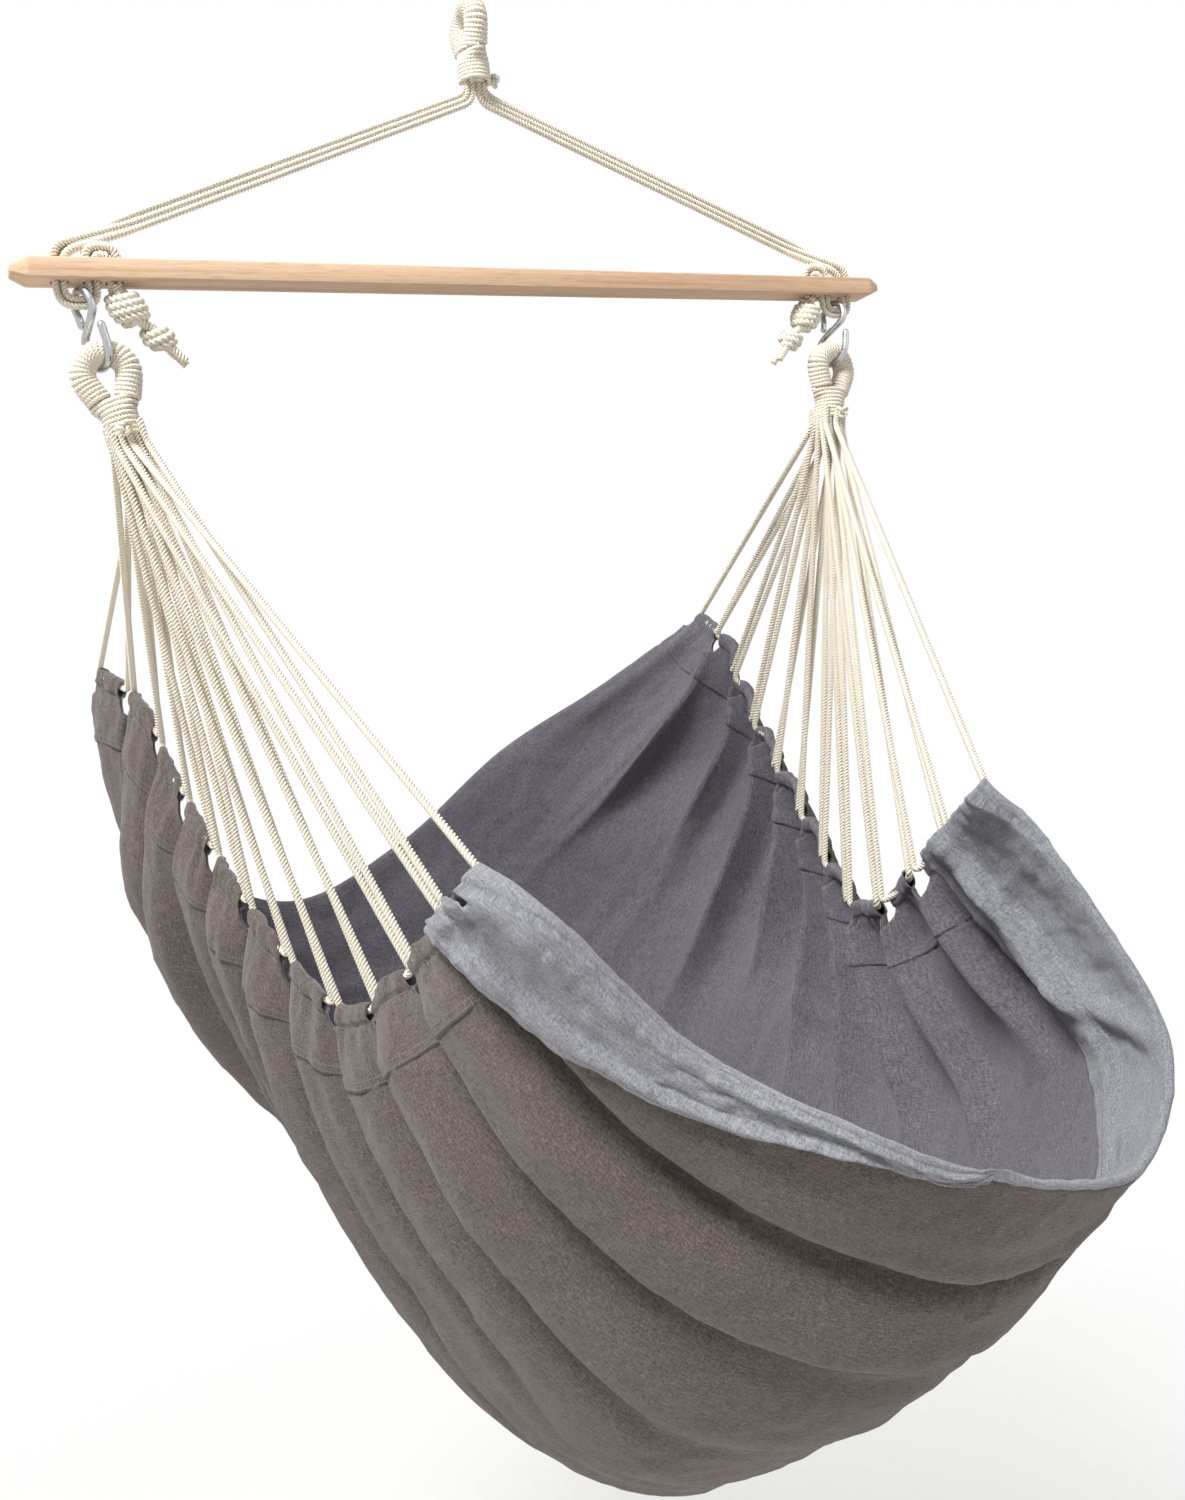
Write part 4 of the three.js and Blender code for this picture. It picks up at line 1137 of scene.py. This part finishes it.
def seat_cloth(surface):
    v, j = np.meshgrid(np.linspace(0, 1, BIGHTS * 22 + 1), np.linspace(0, 1, 178), indexing="ij")
    start = (BAND_HEIGHT - 12) / surface.length_at(v)
    share = start + (1 - 2 * start) * j
    uv = np.stack(flat_place(v, share), -1) / 100
    shape = bmesh.new()
    grid_into(shape, on_cloth(surface, v, share), uv, lambda row: 0)
    return cloth_piece("seat_sheet", shape, THICKNESS, ["seat_cloth"], True)


def margin_width(share):
    shares, widths = zip(*MARGIN_WIDTHS)
    shifts = (-0.02, -0.01, 0, 0.01, 0.02)
    return np.mean([np.interp(share + shift, shares, widths) for shift in shifts], axis=0)


def hump(centre, wide, t):
    return np.exp(-(((t - centre) / wide) ** 2))


def margin_relief(share, w, left, right):
    """Rolls, hollows and creases of the turned margin, away from the cloth that it lies on."""
    near_left = 1 - smooth(0.36, 0.46, share)
    rim_roll = 5 * hump(0.14, 0.16, w) * smooth(0.02, 0.12, share)
    low_roll = 11 * hump(0.8, 0.16, w) * smooth(0.04, 0.16, share) * (1 - smooth(0.3, 0.42, share))
    hollow = -5 * hump(0.46, 0.2, w) * hump(0.22, 0.1, share)
    on_left = (rim_roll + low_roll + hollow + valleys(share * RIM_LENGTH, w * 100, LEFT_CREASES)) * near_left
    on_right = valleys(share * RIM_LENGTH, w * 150, RIGHT_CREASES) * (1 - near_left)
    depth = np.minimum(left, right)
    over_band = 7 * hump(TUNNEL_DEPTH, 17, depth) + 5 * (1 - smooth(72, 100, depth))
    seams = -0.9 * (hump(BAND_HEIGHT - 4, 2.4, depth) + hump(TUNNEL_FLOOR + 4, 2.6, depth))
    puckers = noise_on(w * 9, depth / 40, 81.0) * 6 * np.exp(-np.abs(depth - TUNNEL_FLOOR) / 26)
    crumple = np.abs(noise_on(share * 34, w * 2.6, 83.0)) * 5.5
    crumple += np.abs(noise_on(share * 90, w * 7, 87.0)) * 2.2
    rolls = np.maximum(on_left + on_right, -0.6)
    return rolls + over_band + seams + np.abs(puckers) + crumple * smooth(0, 0.2, w)


def margin_axes(surface, v, share, spin):
    """Outward from the cloth, beyond its front rim, and towards the side that the margin turns to."""
    out = surface.table_at(surface.normals, v, share)
    beyond = unit(surface.table_at(surface.along, v, share))
    return out, beyond, out * np.cos(spin)[:, None] + beyond * np.sin(spin)[:, None]


def rolled_row(surface, share, spin, radius, turn):
    """A row of the margin where it goes round the rim."""
    rim = np.ones(len(share))
    _, beyond, way = margin_axes(surface, rim, share, spin)
    rise, across = math.sin(math.pi * turn), 1 - math.cos(math.pi * turn)
    rim_place = on_cloth(surface, rim, share)
    return rim_place + beyond * (radius * rise)[:, None] + way * (radius * across)[:, None]


def lying_row(surface, share, spin, radius, width, w, ends):
    """A row of the margin where it lies on the cloth."""
    v = 1 - w * width / surface.width_at(share)
    out, _, way = margin_axes(surface, v, share, spin)
    panel = np.where(np.cos(spin) > 0, np.maximum(crest(v), 0.55), np.minimum(crest(v), 0.4))
    height = fold_depth(surface, v, share) * panel + small_relief(surface, v, share)
    lie = 2.6 + (2 * radius - 2.6) * np.exp(-((w * width / 26) ** 2))
    lie = lie + margin_relief(share, np.full(len(share), w), *ends)
    return surface.table_at(surface.places, v, share) + out * height[:, None] + way * lie[:, None]


def front_margin(surface):
    """The wide margin at the front rim: it rolls outward on the left and inward on the right."""
    t = np.concatenate([np.linspace(0, 0.08, 30), np.linspace(0.083, 0.917, 216), np.linspace(0.92, 1, 30)])
    length = surface.lengths[-1]
    left, right = t * length, (1 - t) * length
    radius = 4.2 + 8 * np.exp(-((left / 60) ** 2)) + 2.5 * np.exp(-((right / 50) ** 2))
    spin = math.pi * smooth(0.4, 0.5, t)
    width = margin_width(t)
    rows, reach = [], []
    stations = [(turn, 0) for turn in np.linspace(0, 1, 10)]
    stations += [(1, w) for w in np.linspace(0.015, 1, 34) ** 1.1]
    for turn, w in stations:
        gone = math.pi * radius * turn + width * w
        cut = 24 * np.exp(-(((gone - math.pi * radius - 13) / 10) ** 4))
        top = 1.5 + 3 * noise_on(gone / 16, t * 0, 91.0)
        share = t + (1 - t) ** 8 * (top + cut) / length - t ** 8 * top / length
        if w:
            rows.append(lying_row(surface, share, spin, radius, width, w, (left, right)))
        else:
            rows.append(rolled_row(surface, share, spin, radius, turn))
        reach.append(gone)
    places = np.array(rows)
    uv = np.stack([np.broadcast_to(t * 11, places.shape[:2]), np.array(reach) / 100], -1)
    shape = bmesh.new()
    # The margin gets the lightest copy of the cloth, painted as in full light.
    grid_into(shape, places, uv, lambda row: 2)
    return cloth_piece("front_margin", shape, THICKNESS, []), places


def stitch_row(places, away):
    """Matrices of small stitches laid along a line of places; away points off the cloth."""
    line, length = spaced(places, STITCH["pitch"])
    lift, _ = spaced(away, count=len(line))
    out = []
    for i in range(len(line) - 1):
        run = Vector(line[i + 1] - line[i])
        up = Vector(lift[i]).normalized()
        x = run.normalized()
        y = up.cross(x).normalized()
        turned = Matrix((x, y, x.cross(y))).transposed().to_4x4()
        sides = (run.length * STITCH["length_share"], STITCH["width"], STITCH["height"])
        size = Matrix.Diagonal((*[side / 1000 for side in sides], 1))
        out.append(Matrix.Translation(to_frame((line[i] + line[i + 1]) / 2)) @ turned @ size)
    return out


def band_stitches(surface, side):
    """Rows along the foot of a band and under its tunnel, on both faces of the cloth."""
    out = []
    for face in (-1, 1):
        for depth, inset in ((BAND_HEIGHT - 3, 0.0), (BAND_HEIGHT - 9, 0.0), (TUNNEL_FLOOR + 3, 0.18)):
            for k in range(BIGHTS):
                across = np.linspace(-1 + inset, 1 - inset, 23)
                v = (k + 0.5 + 0.5 * across * (1 - 2 * notch_half(depth))) / BIGHTS
                share = from_header(surface, v, depth, side)
                puckers = band_puckers(v, np.full(23, depth), side)
                places = on_cloth(surface, v, share, face * (LAYER + 0.5) + puckers)
                out += stitch_row(places, face * surface.table_at(surface.normals, v, share))
    return out


def stitches(surface, margin):
    rows = band_stitches(surface, -1) + band_stitches(surface, 1)
    hem = margin[-4]
    away = np.cross(np.gradient(hem, axis=0), margin[-1] - margin[-6])
    for face in (1, -1):
        rows += stitch_row(hem + face * STITCH["off"] * unit(away), face * away)
    share = np.linspace(0.06, 0.94, 300)
    v = np.full(300, 0.011)
    normal = surface.table_at(surface.normals, v, share)
    for face in (-1, 1):
        rows += stitch_row(on_cloth(surface, v, share, face * STITCH["off"]), face * normal)
    shape = bmesh.new()
    for row in rows:
        bmesh.ops.create_cube(shape, size=1, matrix=row)
    mesh = mesh_of("stitches", shape)
    mesh.materials.append(THREAD)
    return settle(link("stitches", mesh), "seat")


# Seat cords


def slot_place(side, index, lead):
    row = ROW_ORDER[index % 5] - 2
    step = index - (2 * BIGHTS - 1) / 2
    p = (row * SLOT_SPACING, -step * SLOT_STEP, FAN_Z - 0.3 - lead)
    return mirrored(side, hung(1, p))


def seat_cord(surface, side, word, k):
    leg = LEG_OFFSET * BIGHTS / surface.header_length

    def in_tunnel(along_tab):
        v = (k + along_tab) / BIGHTS
        share = from_header(surface, v, TUNNEL_DEPTH, side)
        return Vector(on_cloth(surface, v, share, wrinkles=False))

    turns = [in_tunnel(along_tab) for along_tab in (leg, 0.28, 0.5, 0.72, 1 - leg)]
    ends = [[slot_place(side, 2 * k + leg_number, lead) for lead in (-14, 8)] for leg_number in (0, 1)]
    line = [*ends[0], *turns, *reversed(ends[1])]
    name = f"{word}_seat_cord_{k + 1}"
    cord(name + "_twisted", [rounded(line, SEAT_CORD_BEND)], SEAT_CORD, "seat", [name], turned=k * 0.9 + side)


CREASES = long_creases()
set_camera()
set_studio()
spreader_bar()
surface = Surface(264, 400)
for side, word in ((-1, "left"), (1, "right")):
    suspension_cords(side, word)
    rope_tail(side, word)
    hook(side, word)
    whipped_eye(word + "_eye", "seat", lambda p: hung(side, Vector(p), side * EYE_TURN, SIDE_EYE_Z))
    for k in range(BIGHTS):
        seat_cord(surface, side, word, k)
    header_band(surface, side, word)
whipped_eye("top_eye", "frame", lambda p: turned_about_z(p, math.pi / 2) + Vector((0, 0, EYE_SEAT - BAR_Z)))
cloth = seat_cloth(surface)
margin, margin_places = front_margin(surface)
stitches(surface, margin_places)

view = bpy.context.scene.view_settings
view.view_transform = "Standard"
boxes = {"cad": cad_box, "visual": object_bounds()}
{name: [list(map(float, p)) for p in box] for name, box in boxes.items()}
